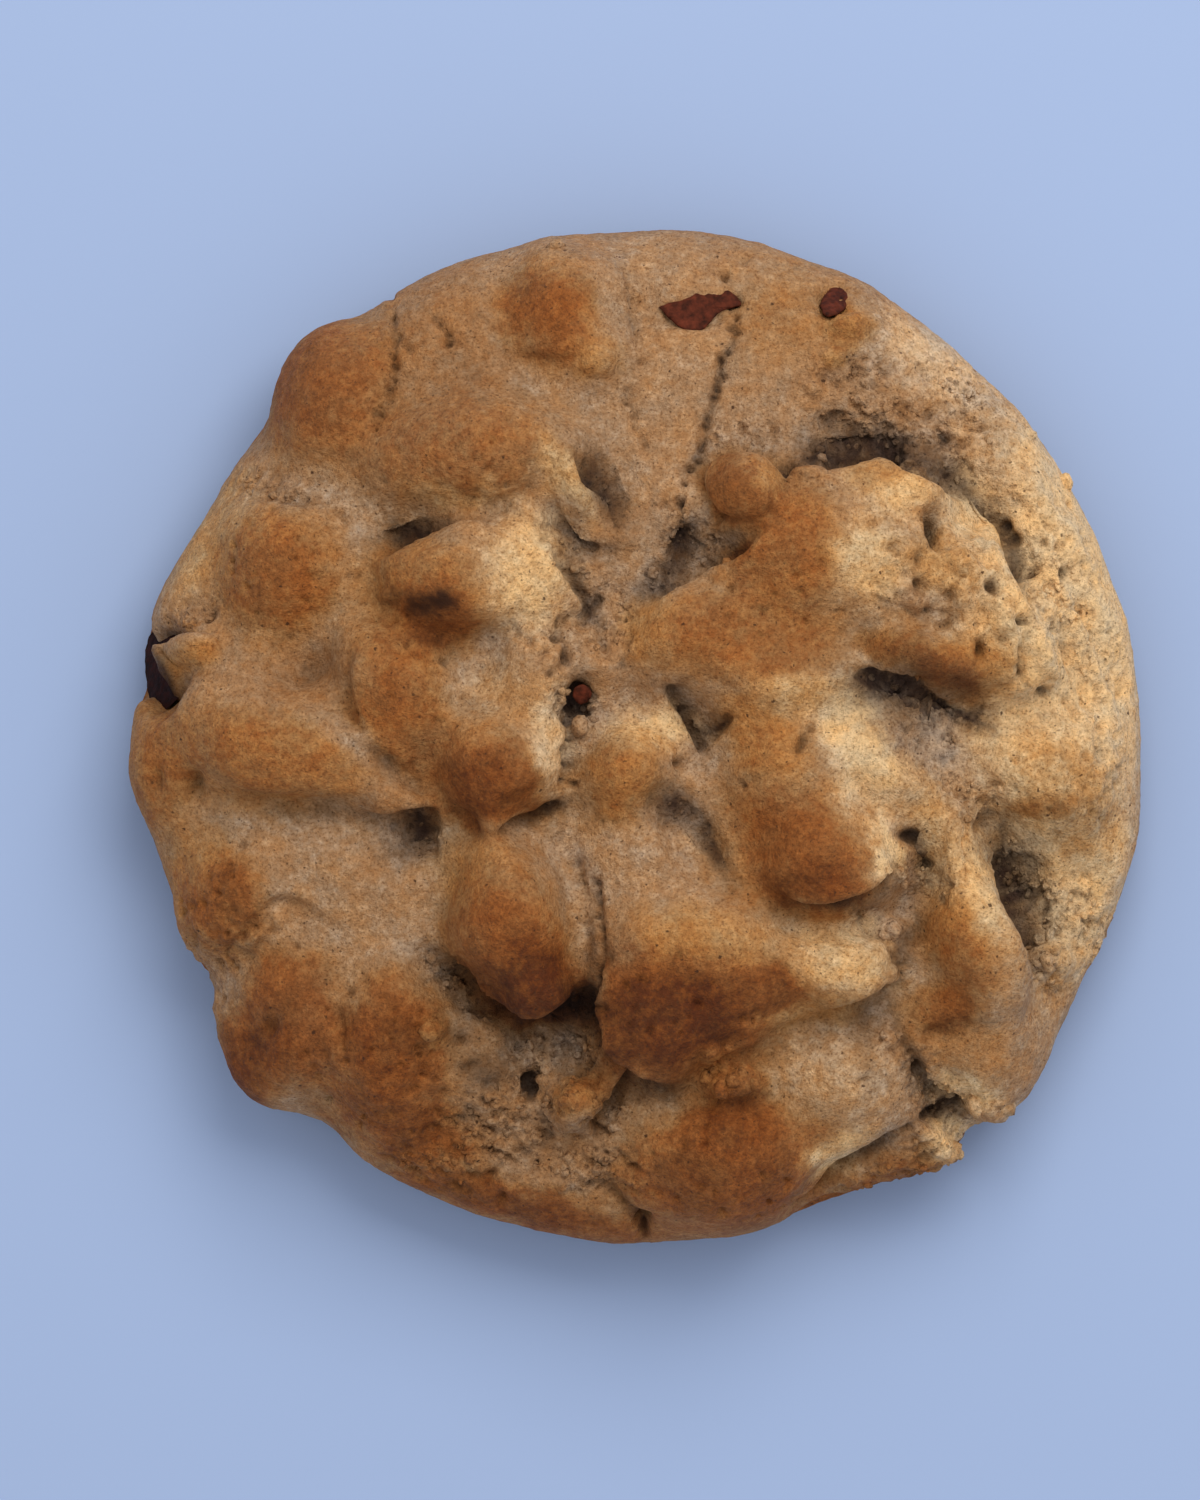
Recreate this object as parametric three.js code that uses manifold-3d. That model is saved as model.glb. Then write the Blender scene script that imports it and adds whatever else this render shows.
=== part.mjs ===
// A thick, craggy chai cookie, with pieces of chocolate baked into its top.
// Millimetres, +Z up. The origin is the middle of the flat base, and +Y is the far edge of the top view.
import * as THREE from "three";
import { ImprovedNoise } from "three/addons/math/ImprovedNoise.js";
import { mergeVertices } from "three/addons/utils/BufferGeometryUtils.js";
import Module from "manifold-3d";

// Driving dimensions
const DIAMETER = 110;
const DOME_HEIGHT = 24; // the smooth dome that the lumps stand on
const WIDEST_HEIGHT = 9; // where the side bulges out most
const BASE_DIAMETER = 101; // the flat underside
const TOP_SPACING = 1.53; // between the vertices of the crust
const SIDE_SPACING = 2.6; // the same, below the widest height
const CHOCOLATE_GAP = 0.3; // between a piece of chocolate and its pocket

// The dome's profile: how far the flat top reaches out, and how high the shoulder and the heel sit
const TOP_REACH = 0.62; // share of the radius
const SHOULDER_HEIGHT = 20.5;
const HEEL_HEIGHT = 3;

// Uneven dough: lumps are pushed sideways by WARP and roughened by SWELL, over these lengths
const WARP = 1.8;
const WARP_LENGTH = 13;
const SWELL = 0.6;
const SWELL_LENGTH = 8;
const FILLET = 3.6; // rounds the valley where two lumps meet, unless a lump has its own

// How a lump ends: a small power makes a wall, a large one a long soft skirt
const STEEP_SLOPE = 0.42;
const MEAN_SLOPE = 0.85;
const SOFT_SLOPE = 1.2;

// Where the outline leaves the circle: an angle from +X, how far, and over what spread of angle
const OUTLINE_SWELLS = [
  { at: 2, by: 0.4, spread: 15 },
  { at: 42, by: -0.9, spread: 6 },
  { at: 82, by: 0.9, spread: 14 },
  { at: 118, by: -0.7, spread: 9 },
  { at: 139, by: -1.6, spread: 5 }, // notch under the left shoulder
  { at: 150, by: -1.9, spread: 8 },
  { at: 189, by: -1, spread: 9 },
  { at: 206, by: -1.8, spread: 9 },
  { at: 221, by: 1.5, spread: 8 },
  { at: 232, by: -1.1, spread: 5 },
  { at: 270, by: 0.3, spread: 16 },
  { at: 306, by: 2.4, spread: 8 }, // torn ledge
  { at: 324, by: 1.3, spread: 8 },
  { at: 345, by: 0.9, spread: 12 },
];

// Lumps of dough: middle, half length and half width in plan, turn of the length from +X, and rise.
// A lump has its own slope, or is steep on the side that faces an angle, or ends in the mean slope.
const LUMPS = [
  { name: "left shoulder", at: [-33.5, 38.4], half: [8, 6.6], turn: 80, rise: 4.2, slope: 0.7 },
  { name: "upper left slope", at: [-21.4, 45.3], half: [9, 5.5], turn: 20, rise: 1.4 },
  { name: "top lump", at: [-7.6, 47.5], half: [6.8, 6], turn: 80, rise: 3.6 },
  { name: "top lump foot", at: [-4.1, 41.8], half: [4, 3.4], turn: 0, rise: 2 },
  { name: "upper ridge", at: [-18.5, 31.8], half: [12.6, 7.6], turn: 2, rise: 5.6, steep: -90 },
  { name: "upper ridge hook", at: [-5.2, 27.6], half: [6.4, 2.7], turn: -62, rise: 5.2, slope: 0.7 },
  { name: "eye", at: [-19.1, 17.3], half: [9.4, 7.6], turn: -5, rise: 7.6, slope: 0.6, fillet: 2.4 },
  { name: "eye corner", at: [-9.9, 18.9], half: [7, 5.4], turn: -60, rise: 5.4 },
  { name: "cheek", at: [-24.5, 5.2], half: [9.5, 7.6], turn: -40, rise: 5.8, steep: 200 },
  { name: "cheek slope", at: [-10.4, 6.3], half: [8, 6], turn: 90, rise: 4.5 },
  { name: "chin", at: [-15.1, -1.6], half: [8.6, 7.6], turn: -70, rise: 7, steep: -90, fillet: 2.4 },
  { name: "chin tip", at: [-15.5, -8.2], half: [4.6, 3.4], turn: 95, rise: 5.4, slope: 0.6, fillet: 1.2 },
  { name: "left crust", at: [-38.5, 18.9], half: [7.6, 7], turn: 80, rise: 3.8 },
  { name: "left slope", at: [-43.5, 5.2], half: [8, 5], turn: 10, rise: 2.5 },
  { name: "left roll", at: [-38.5, -0.3], half: [15.5, 7], turn: -10, rise: 5, steep: -90 },
  { name: "left roll end", at: [-25.9, -6.6], half: [5.4, 3], turn: -12, rise: 4, steep: -90 },
  { name: "left edge", at: [-52.2, -5.3], half: [5, 3.4], turn: 80, rise: 1.6 },
  { name: "lower left crust", at: [-45.4, -19.2], half: [7.5, 5], turn: 35, rise: 2.8, steep: -60 },
  { name: "lower left bud", at: [-39, -27.3], half: [5, 3.6], turn: 40, rise: 2.2 },
  { name: "lower left roll", at: [-36.9, -32.8], half: [6.5, 4.6], turn: 70, rise: 2.8 },
  { name: "lower left slab", at: [-27.2, -34.4], half: [9.5, 6.4], turn: 80, rise: 4 },
  { name: "lower left edge", at: [-43.5, -35], half: [6, 3.6], turn: -50, rise: 2 },
  { name: "nose", at: [-13.4, -19.2], half: [10.6, 7.8], turn: -74, rise: 8.2, steep: -100, fillet: 1.4 },
  { name: "nose tip", at: [-10.7, -27.3], half: [4.8, 4.4], turn: 0, rise: 6.8, slope: 0.55, fillet: 2 },
  { name: "nose bridge", at: [-15.7, -13], half: [6, 5], turn: 0, rise: 4, fillet: 1.6 },
  { name: "belly", at: [7.2, -22.9], half: [14, 11.4], turn: -5, rise: 7.4, steep: -100 },
  { name: "belly top", at: [2.8, -12.4], half: [8.6, 8], turn: 0, rise: 3.6 },
  { name: "belly lobe", at: [1.9, -30.2], half: [9, 8], turn: 0, rise: 7.4, steep: -110 },
  { name: "belly point", at: [21.4, -24], half: [9, 5.8], turn: -6, rise: 6, steep: -60 },
  { name: "right nose", at: [20.1, -12], half: [9.4, 7.8], turn: -10, rise: 8.2, steep: -80, fillet: 3 },
  { name: "right nose bridge", at: [16.5, -4.2], half: [9, 7.4], turn: 60, rise: 6 },
  { name: "right nose flank", at: [26.9, -2.5], half: [8, 5], turn: -60, rise: 4.8 },
  { name: "middle bud", at: [-1.4, -3.1], half: [5.6, 5], turn: 60, rise: 4.4 },
  { name: "upper middle bud", at: [-3.9, 9], half: [3.8, 3.2], turn: 90, rise: 2.8 },
  { name: "plateau", at: [22, 18.9], half: [20, 10.8], turn: -18, rise: 7, steep: 70 },
  { name: "plateau arm", at: [7.2, 12.3], half: [9.5, 5.6], turn: 32, rise: 5.6, steep: 120 },
  { name: "plateau slope", at: [13.8, 7.4], half: [12, 8], turn: 0, rise: 5.6 },
  { name: "plateau crest", at: [29.1, 27.2], half: [9, 5], turn: -25, rise: 6, steep: 75 },
  { name: "plateau end", at: [38.5, 14], half: [11, 7], turn: -55, rise: 5.8, slope: 0.6 },
  { name: "plateau lip", at: [31.9, 9], half: [8.4, 4], turn: -10, rise: 6.6, steep: -100 },
  { name: "knob", at: [12.3, 27.2], half: [4.3, 4], turn: -20, rise: 7, slope: 0.5, fillet: 0.6 },
  { name: "right ridge", at: [36.4, -22.3], half: [11, 5.6], turn: -76, rise: 6.2, steep: 10, fillet: 2 },
  { name: "right ridge top", at: [34.4, -13.5], half: [5.5, 3.2], turn: -80, rise: 5, steep: 0 },
  { name: "right ridge foot", at: [37.4, -33.3], half: [8, 6.4], turn: -40, rise: 3.4 },
  { name: "right shelf", at: [45.6, -4.2], half: [7.4, 6], turn: 20, rise: 3.4, steep: -90 },
  { name: "right rim roll", at: [44.5, 23.9], half: [14, 3.4], turn: -58, rise: 1.5 },
  { name: "bottom lump", at: [9.1, -46.5], half: [11.4, 7.4], turn: 6, rise: 5 },
  { name: "bottom right slab", at: [23.1, -37.7], half: [8.6, 7], turn: 20, rise: 3.4 },
  { name: "bottom knob", at: [-6.3, -38.5], half: [5, 3.8], turn: 30, rise: 4.2, fillet: 1.4 },
  { name: "crumbs", at: [10.7, -37.5], half: [3.8, 3], turn: 0, rise: 4, fillet: 1.2 },
  { name: "far shoulder", at: [23.1, 44.2], half: [6, 5], turn: -30, rise: 1.2 },
  { name: "bud on the chunk", at: [-49.2, 9.8], half: [4, 2.6], turn: 15, rise: 2.6, fillet: 1 },
];

// Hollows between the lumps: as the lumps, with a depth
const HOLLOWS = [
  { name: "under the hook", at: [-3.1, 27.2], half: [4.8, 2.3], turn: -68, depth: 4.4 },
  { name: "hook's end", at: [-6.4, 22.6], half: [4, 2.3], turn: -40, depth: 3.8 },
  { name: "beside the eye", at: [-5.5, 14.5], half: [5.5, 2.2], turn: -68, depth: 3 },
  { name: "over the eye", at: [-25.3, 23], half: [5, 2.2], turn: 10, depth: 4 },
  { name: "under the knob", at: [7, 21.2], half: [4.6, 3], turn: 30, depth: 4.2 },
  { name: "plateau's pit", at: [6, 2.1], half: [4.8, 2.6], turn: -55, depth: 5.5 },
  { name: "chip's hole", at: [-6.3, 4.1], half: [3.4, 2.2], turn: 86, depth: 3.4 },
  { name: "under the chin", at: [-11, -8], half: [4.4, 2.2], turn: 18, depth: 4 },
  { name: "over the belly", at: [6, -10.2], half: [6, 2.2], turn: -50, depth: 3.8 },
  { name: "under the lip", at: [30.8, 4.8], half: [8, 2.9], turn: -20, depth: 4.6 },
  { name: "lip's floor", at: [33.5, -0.3], half: [8, 6], turn: -40, depth: 1.8 },
  { name: "behind the ridge", at: [41.5, -15.7], half: [8.4, 3.4], turn: -68, depth: 6 },
  { name: "behind the ridge, floor", at: [46.8, -16.8], half: [7, 5], turn: -72, depth: 2 },
  { name: "before the ridge", at: [31.4, -13.5], half: [6, 2.6], turn: -80, depth: 3 },
  { name: "left of the bridge", at: [-24.8, -11.1], half: [4.6, 2.8], turn: 8, depth: 4 },
  { name: "under the left roll", at: [-34.6, -8.9], half: [11, 2.4], turn: -4, depth: 2.2 },
  { name: "left of the nose", at: [-19.2, -27.3], half: [6.6, 2.6], turn: -38, depth: 4.4 },
  { name: "under the nose", at: [-6, -29.3], half: [3, 3], turn: 0, depth: 6.5 },
  { name: "cave floor", at: [-8.2, -33.9], half: [7.4, 3.8], turn: 0, depth: 3 },
  { name: "cave's pit", at: [-11.4, -38.1], half: [2.8, 2.2], turn: 80, depth: 3 },
  { name: "under the belly lobe", at: [-1.1, -38.8], half: [3.6, 2.6], turn: 46, depth: 3.6 },
  { name: "torn floor", at: [-14.8, -43.8], half: [10, 5.4], turn: -15, depth: 1.6 },
  { name: "far trench", at: [25.6, 31.8], half: [9, 3.3], turn: -12, depth: 5 },
  { name: "far trench, right", at: [38.5, 24.8], half: [9.6, 3.2], turn: -42, depth: 3.8 },
  { name: "torn opening", at: [33, -39.4], half: [5.4, 2.6], turn: -48, depth: 3.6 },
  { name: "over the ledge", at: [23.1, -47.1], half: [9, 2.4], turn: 36, depth: 2.6 },
  { name: "chunk's hole", at: [-51.9, 7.2], half: [5.4, 4.4], turn: 75, depth: 1.6 },
  { name: "left dip", at: [-36.9, 7.4], half: [4.5, 3.5], turn: 0, depth: 1.2 },
];

const noise = new ImprovedNoise();
const radians = THREE.MathUtils.degToRad;
const radius = DIAMETER / 2;

// How far a plan point lies from the middle of an oval feature, 1 at its edge
function distanceIn(feature, x, y) {
  const turn = radians(feature.turn);
  const dx = x - feature.at[0];
  const dy = y - feature.at[1];
  const along = dx * Math.cos(turn) + dy * Math.sin(turn);
  const across = dy * Math.cos(turn) - dx * Math.sin(turn);
  return Math.hypot(along / feature.half[0], across / feature.half[1]);
}

// The larger of two heights, with a fillet where they are nearly equal
function filletedMax(a, b, fillet) {
  const share = Math.max(fillet - Math.abs(a - b), 0) / fillet;
  return Math.max(a, b) + (share * share * fillet) / 4;
}

// Height of one lump above the dome. Past its edge it goes on down, so that fillets run out smoothly.
function lumpHeight(lump, x, y) {
  const d = distanceIn(lump, x, y);
  if (d >= 1) return -2 * lump.rise * (d - 1);
  let slope = lump.slope ?? MEAN_SLOPE;
  if (lump.steep !== undefined) {
    const off = Math.atan2(y - lump.at[1], x - lump.at[0]) - radians(lump.steep);
    slope = THREE.MathUtils.lerp(SOFT_SLOPE, STEEP_SLOPE, (1 + Math.cos(off)) / 2);
  }
  return lump.rise * (1 - d * d) ** slope;
}

// Height of the lumps above the dome, and depth of the hollows below it, at a plan point
function relief(planX, planY) {
  const warp = (shift) => WARP * noise.noise(planX / WARP_LENGTH, planY / WARP_LENGTH, shift);
  const x = planX + warp(1.5);
  const y = planY + warp(7.5);
  let height = 0;
  for (const lump of LUMPS) height = filletedMax(height, lumpHeight(lump, x, y), lump.fillet ?? FILLET);
  for (const hollow of HOLLOWS) {
    const d = distanceIn(hollow, x, y);
    if (d < 1) height -= hollow.depth * (1 - d * d) ** 1.2;
  }
  return height + SWELL * noise.noise(x / SWELL_LENGTH, y / SWELL_LENGTH, 3.5);
}

// How much wider the outline is than the circle, at an angle in radians
function outlineShare(angle) {
  let share = 1;
  for (const swell of OUTLINE_SWELLS) {
    const turned = angle - radians(swell.at);
    const off = Math.atan2(Math.sin(turned), Math.cos(turned)) / radians(swell.spread);
    share += (swell.by / radius) * Math.exp(-off * off);
  }
  return share;
}

// The smooth dome, from the crown over the shoulder and the side to the edge of the base
const profile = new THREE.Path()
  .moveTo(0, DOME_HEIGHT)
  .bezierCurveTo(TOP_REACH * radius, DOME_HEIGHT, radius, SHOULDER_HEIGHT, radius, WIDEST_HEIGHT)
  .bezierCurveTo(radius, HEEL_HEIGHT, BASE_DIAMETER / 2 + HEEL_HEIGHT, 0, BASE_DIAMETER / 2, 0);
const profileLength = profile.getLength();

// A point of the crust, with the dome's own normal there. The relief dies out down the side.
function crustPoint(share, angle) {
  const onDome = profile.getPointAt(share);
  const tangent = profile.getTangentAt(share);
  const reach = onDome.x * THREE.MathUtils.lerp(1, outlineShare(angle), (onDome.x / radius) ** 4);
  const normal = new THREE.Vector3(-tangent.y * Math.cos(angle), -tangent.y * Math.sin(angle), tangent.x);
  const point = new THREE.Vector3(reach * Math.cos(angle), reach * Math.sin(angle), onDome.y);
  const fade = THREE.MathUtils.smoothstep(onDome.y, 0, WIDEST_HEIGHT + HEEL_HEIGHT);
  return { point: point.clone().addScaledVector(normal, fade * relief(point.x, point.y)), normal };
}

// Joins two rings of vertices, both running anticlockwise from +X. A ring of one vertex is a pole.
function zipRings(inner, outer, triangles) {
  const innerSteps = inner.length === 1 ? 0 : inner.length;
  const outerSteps = outer.length === 1 ? 0 : outer.length;
  let i = 0;
  let j = 0;
  while (i < innerSteps || j < outerSteps) {
    const a = inner[i % inner.length];
    const b = outer[j % outer.length];
    const outerIsNext = i === innerSteps || (j < outerSteps && (j + 1) * innerSteps <= (i + 1) * outerSteps);
    if (outerIsNext) j += 1;
    else i += 1;
    triangles.push(a, b, outerIsNext ? outer[j % outer.length] : inner[i % inner.length]);
  }
}

// The whole cookie as one closed net: rings from the crown down to the base, then the base's middle
function cookieNet() {
  const points = [];
  const triangles = [];
  const addRing = (count, pointAt) => {
    const first = points.length;
    for (let k = 0; k < count; k += 1) points.push(pointAt((2 * Math.PI * k) / count));
    return Array.from({ length: count }, (_, k) => first + k);
  };
  let above = addRing(1, () => crustPoint(0, 0).point);
  let along = 0;
  while (along < profileLength) {
    const spacing = profile.getPointAt(along / profileLength).y > WIDEST_HEIGHT ? TOP_SPACING : SIDE_SPACING;
    along = along + 1.5 * spacing > profileLength ? profileLength : along + spacing;
    const share = along / profileLength;
    const count = 6 * Math.round((2 * Math.PI * profile.getPointAt(share).x) / spacing / 6);
    const ring = addRing(count, (angle) => crustPoint(share, angle).point);
    zipRings(above, ring, triangles);
    above = ring;
  }
  zipRings(above, addRing(1, () => new THREE.Vector3()), triangles);
  return new THREE.BufferGeometry().setFromPoints(points).setIndex(triangles);
}

// Places a piece on the crust at a plan point, its +Z along the dome's normal, sunk by a depth
function setInCrust(mesh, [x, y], turn, sunk) {
  const angle = Math.atan2(y, x);
  let low = 0;
  let high = 1;
  while (high - low > 1e-4) {
    const share = (low + high) / 2;
    const widest = profile.getPointAt(share).y <= WIDEST_HEIGHT;
    if (widest || profile.getPointAt(share).x > Math.hypot(x, y)) high = share;
    else low = share;
  }
  const { point, normal } = crustPoint(low, angle);
  mesh.quaternion.setFromUnitVectors(new THREE.Vector3(0, 0, 1), normal);
  mesh.rotateZ(radians(turn));
  mesh.position.copy(point).addScaledVector(normal, -sunk);
  return mesh;
}

// Chocolate

const chocolate = new THREE.MeshStandardMaterial({ color: 0x5a3226, roughness: 0.45, metalness: 0 });

// A broken flake: an uneven outline, cut straight through
function makeShard() {
  const length = 8.6;
  const width = 4.2;
  const thickness = 2.2;
  const outline = new THREE.Shape()
    .moveTo(-0.5 * length, 0.05 * width)
    .quadraticCurveTo(-0.25 * length, -0.45 * width, -0.1 * length, -0.5 * width)
    .lineTo(0.08 * length, -0.36 * width)
    .lineTo(0.4 * length, 0)
    .lineTo(0.5 * length, 0.34 * width)
    .quadraticCurveTo(0.3 * length, 0.52 * width, 0.05 * length, 0.46 * width)
    .lineTo(-0.2 * length, 0.16 * width)
    .closePath();
  const slab = new THREE.ExtrudeGeometry(outline, { depth: thickness, bevelEnabled: false, curveSegments: 4 });
  return new THREE.Mesh(slab.translate(0, 0, -thickness), chocolate);
}

// A moulded chip: a small round drop on its side
function makeChip() {
  const width = 3.4;
  const drop = new THREE.Path()
    .moveTo(0, -0.5 * width)
    .bezierCurveTo(0.4 * width, -0.5 * width, 0.55 * width, -0.3 * width, 0.5 * width, 0)
    .bezierCurveTo(0.46 * width, 0.3 * width, 0.2 * width, 0.4 * width, 0, 0.55 * width);
  const body = new THREE.LatheGeometry(drop.getPoints(5), 14).rotateX(Math.PI / 2);
  return new THREE.Mesh(body, chocolate);
}

// A hand-cut chunk: a rough block with broken corners
function makeChunk() {
  const block = new THREE.DodecahedronGeometry(1).scale(3.1, 4.6, 2.6);
  return new THREE.Mesh(block, chocolate);
}

const pieces = {
  chocolate_shard: setInCrust(makeShard(), [7.4, 47.2], 8, -0.2),
  chocolate_chip: setInCrust(makeChip(), [21.9, 47], 20, 0.7),
  chocolate_chunk: setInCrust(makeChunk(), [-51.6, 5.2], 20, 0.6),
};

// Dough

const wasm = await Module();
wasm.setup();

// A closed three.js geometry as a solid that can be cut
function solidOf(geometry) {
  const bare = new THREE.BufferGeometry().setAttribute("position", geometry.getAttribute("position"));
  const merged = mergeVertices(geometry.index ? bare.setIndex(geometry.index) : bare, 1e-4);
  const vertProperties = Float32Array.from(merged.getAttribute("position").array);
  return new wasm.Manifold(new wasm.Mesh({ numProp: 3, vertProperties, triVerts: merged.index.array }));
}

// The room that a piece of chocolate takes up: its own shape, grown by the gap on every side
function pocketFor(mesh) {
  const geometry = mesh.geometry.clone();
  geometry.computeBoundingBox();
  const middle = geometry.boundingBox.getCenter(new THREE.Vector3());
  const size = geometry.boundingBox.getSize(new THREE.Vector3());
  const grown = (length) => (length + 2 * CHOCOLATE_GAP) / length;
  geometry.translate(-middle.x, -middle.y, -middle.z).scale(grown(size.x), grown(size.y), grown(size.z));
  mesh.updateMatrix();
  return geometry.translate(middle.x, middle.y, middle.z).applyMatrix4(mesh.matrix);
}

function makeDough() {
  let solid = solidOf(cookieNet());
  for (const piece of Object.values(pieces)) solid = solid.subtract(solidOf(pocketFor(piece)));
  const { vertProperties, triVerts } = solid.getMesh();
  const geometry = new THREE.BufferGeometry()
    .setAttribute("position", new THREE.BufferAttribute(vertProperties, 3))
    .setIndex(new THREE.BufferAttribute(triVerts, 1));
  geometry.computeVertexNormals();
  return new THREE.Mesh(geometry, new THREE.MeshStandardMaterial({ color: 0xb98a5c, roughness: 0.85, metalness: 0 }));
}

const cookie = new THREE.Group();
for (const [name, piece] of Object.entries({ dough: makeDough(), ...pieces })) {
  piece.name = name;
  cookie.add(piece);
}

// The uneven outline is centred on the origin
const middle = new THREE.Box3().setFromObject(cookie, true).getCenter(new THREE.Vector3());
for (const piece of cookie.children) piece.position.sub(new THREE.Vector3(middle.x, middle.y, 0));

export default cookie;
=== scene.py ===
# %% [markdown]
# # A craggy chai cookie
# The cookie comes in as a plain CAD model: one solid of dough with its large lumps, and three pieces of
# chocolate. This lesson gives it a baked crust: fine creases, torn crumb, pores, browning and spice.
# Lengths on the cookie are in millimetres. The floor, the light and the camera are placed in metres.

import math

import bmesh
import bpy
import numpy as np
from mathutils import Matrix, Vector, noise
from mathutils.bvhtree import BVHTree


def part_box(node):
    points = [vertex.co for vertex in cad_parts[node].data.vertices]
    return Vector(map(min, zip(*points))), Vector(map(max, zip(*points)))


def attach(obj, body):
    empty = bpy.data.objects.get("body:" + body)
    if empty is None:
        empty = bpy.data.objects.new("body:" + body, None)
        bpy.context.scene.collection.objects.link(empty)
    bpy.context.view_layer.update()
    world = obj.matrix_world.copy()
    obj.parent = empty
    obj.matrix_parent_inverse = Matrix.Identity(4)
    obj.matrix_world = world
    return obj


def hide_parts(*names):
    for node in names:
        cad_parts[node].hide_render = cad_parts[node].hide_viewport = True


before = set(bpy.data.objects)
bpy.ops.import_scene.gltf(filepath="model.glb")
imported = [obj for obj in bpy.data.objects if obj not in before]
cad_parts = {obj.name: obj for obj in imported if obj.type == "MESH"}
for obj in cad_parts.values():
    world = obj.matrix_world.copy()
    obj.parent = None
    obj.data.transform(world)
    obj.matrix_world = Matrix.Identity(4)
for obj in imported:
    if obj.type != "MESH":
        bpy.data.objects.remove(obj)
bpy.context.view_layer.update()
MM = 0.001
dough_low, dough_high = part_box("dough")
print("dough, mm:", [round(side / MM, 1) for side in dough_high - dough_low])

# %% [markdown]
# ## Places on the cookie
# The photograph looks straight at the cookie's face, and here the cookie lies face up, so a pixel is a
# place in plan. It is far easier to check a crease against the photograph in pixels than in
# millimetres, so creases and pits are listed that way.

# %% From a pixel of the photograph to millimetres from the cookie's middle
PHOTO_SIZE = (1200, 1500)
COOKIE_CENTRE = (635, 737)
MM_PER_PIXEL = 0.11


def plan(pixels):
    """Plan places in millimetres, +Y towards the top of the photograph."""
    offset = np.asarray(pixels, float) - COOKIE_CENTRE
    return offset * (MM_PER_PIXEL, -MM_PER_PIXEL)


print("photograph's corner, mm:", plan([0, 0]))

# %% [markdown]
# ## A fine net over the dough
# The solid's facets are 1.5 mm wide, too coarse for a crust. A voxel remesh would be the quick way to a
# finer skin, but it spends nearly a third of its faces on the flat underside. Here rings of vertices
# are dropped onto the solid instead: straight down over the top, then from a fan of directions that
# swings over the edge.

# %% Rings of rays: where each ray is aimed, and how steeply it comes in
TOP_STEP = 0.37
SIDE_STEP = 0.8
BASE_STEP = 4.0
HINGE_RADIUS = 43.0
HINGE_HEIGHT = 9.0
HINGE_TO_CRUST = 13.0
HINGE_TO_FOOT = 0.9 * HINGE_TO_CRUST
RAY_LENGTH = 60.0


def ray_rings():
    """One (hinge radius, elevation, number of rays) for each ring, from the crown to the foot of the side."""
    rings = []
    for radius in np.arange(TOP_STEP, HINGE_RADIUS, TOP_STEP):
        rings.append((radius, math.pi / 2, round(2 * math.pi * radius / TOP_STEP)))
    elevation = math.pi / 2
    lowest = -math.atan2(HINGE_HEIGHT, HINGE_TO_FOOT)
    while elevation > lowest:
        step = TOP_STEP if elevation > 0 else SIDE_STEP
        crust_radius = HINGE_RADIUS + HINGE_TO_CRUST * math.cos(elevation)
        rings.append((HINGE_RADIUS, elevation, round(2 * math.pi * crust_radius / step)))
        elevation -= step / HINGE_TO_CRUST
    return rings


rings = ray_rings()
print(len(rings), "rings,", sum(count for _, _, count in rings), "rays")

# %% Find where a ray meets the solid
def tree_of(names):
    """A search tree over the faces of some nodes of the model."""
    corners, polygons = [], []
    for name in names:
        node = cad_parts[name]
        start = len(corners)
        corners += [node.matrix_world @ vertex.co for vertex in node.data.vertices]
        polygons += [[start + index for index in polygon.vertices] for polygon in node.data.polygons]
    return BVHTree.FromPolygons(corners, polygons)


CHOCOLATE_NODES = ("chocolate_shard", "chocolate_chip", "chocolate_chunk")
solid = tree_of(("dough", *CHOCOLATE_NODES))


def crust_place(hinge_radius, elevation, angle):
    """Where a ray from outside first meets the dough, in millimetres."""
    around = Vector((math.cos(angle), math.sin(angle), 0))
    outward = around * math.cos(elevation) + Vector((0, 0, math.sin(elevation)))
    hinge = around * hinge_radius + Vector((0, 0, HINGE_HEIGHT))
    hit = solid.ray_cast((hinge + outward * RAY_LENGTH) * MM, -outward)[0]
    return hit / MM


crown = crust_place(0, math.pi / 2, 0)
print("crown, mm:", [round(side, 1) for side in crown])

# %% Cast the rays, and close the underside with a few wide rings, flat on the table
places = []
ring_vertices = []


def add_ring(ring):
    """Adds the places of one ring, and keeps which vertices they are."""
    ring_vertices.append(list(range(len(places), len(places) + len(ring))))
    places.extend(ring)


def angles(count):
    """Angles that go once round in even steps."""
    return [2 * math.pi * k / count for k in range(count)]


add_ring([crown])
for hinge_radius, elevation, count in rings:
    add_ring([crust_place(hinge_radius, elevation, angle) for angle in angles(count)])
heel = max(math.hypot(places[index].x, places[index].y) for index in ring_vertices[-1])
for radius in np.arange(heel - BASE_STEP, BASE_STEP, -BASE_STEP):
    count = round(2 * math.pi * radius / BASE_STEP)
    add_ring([Vector((radius * math.cos(angle), radius * math.sin(angle), 0)) for angle in angles(count)])
add_ring([Vector((0, 0, 0))])
print(len(places), "places in", len(ring_vertices), "rings")

# %% Triangles between the rings
def zip_rings(inner, outer):
    """Triangles between two rings of vertices, which may differ in number. A ring of one vertex is a pole."""
    inner_steps = len(inner) if len(inner) > 1 else 0
    outer_steps = len(outer) if len(outer) > 1 else 0
    i = j = 0
    while i < inner_steps or j < outer_steps:
        a, b = inner[i % len(inner)], outer[j % len(outer)]
        if i == inner_steps or (j < outer_steps and (j + 1) * inner_steps <= (i + 1) * outer_steps):
            j += 1
            yield a, b, outer[j % len(outer)]
        else:
            i += 1
            yield a, b, inner[i % len(inner)]


def skin(loops):
    """Triangles over a row of rings, each joined to the next."""
    return np.array([t for inner, outer in zip(loops, loops[1:]) for t in zip_rings(inner, outer)])


faces = skin(ring_vertices)
crust = np.array([tuple(place) for place in places])
print(len(crust), "vertices,", len(faces), "triangles")

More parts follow.
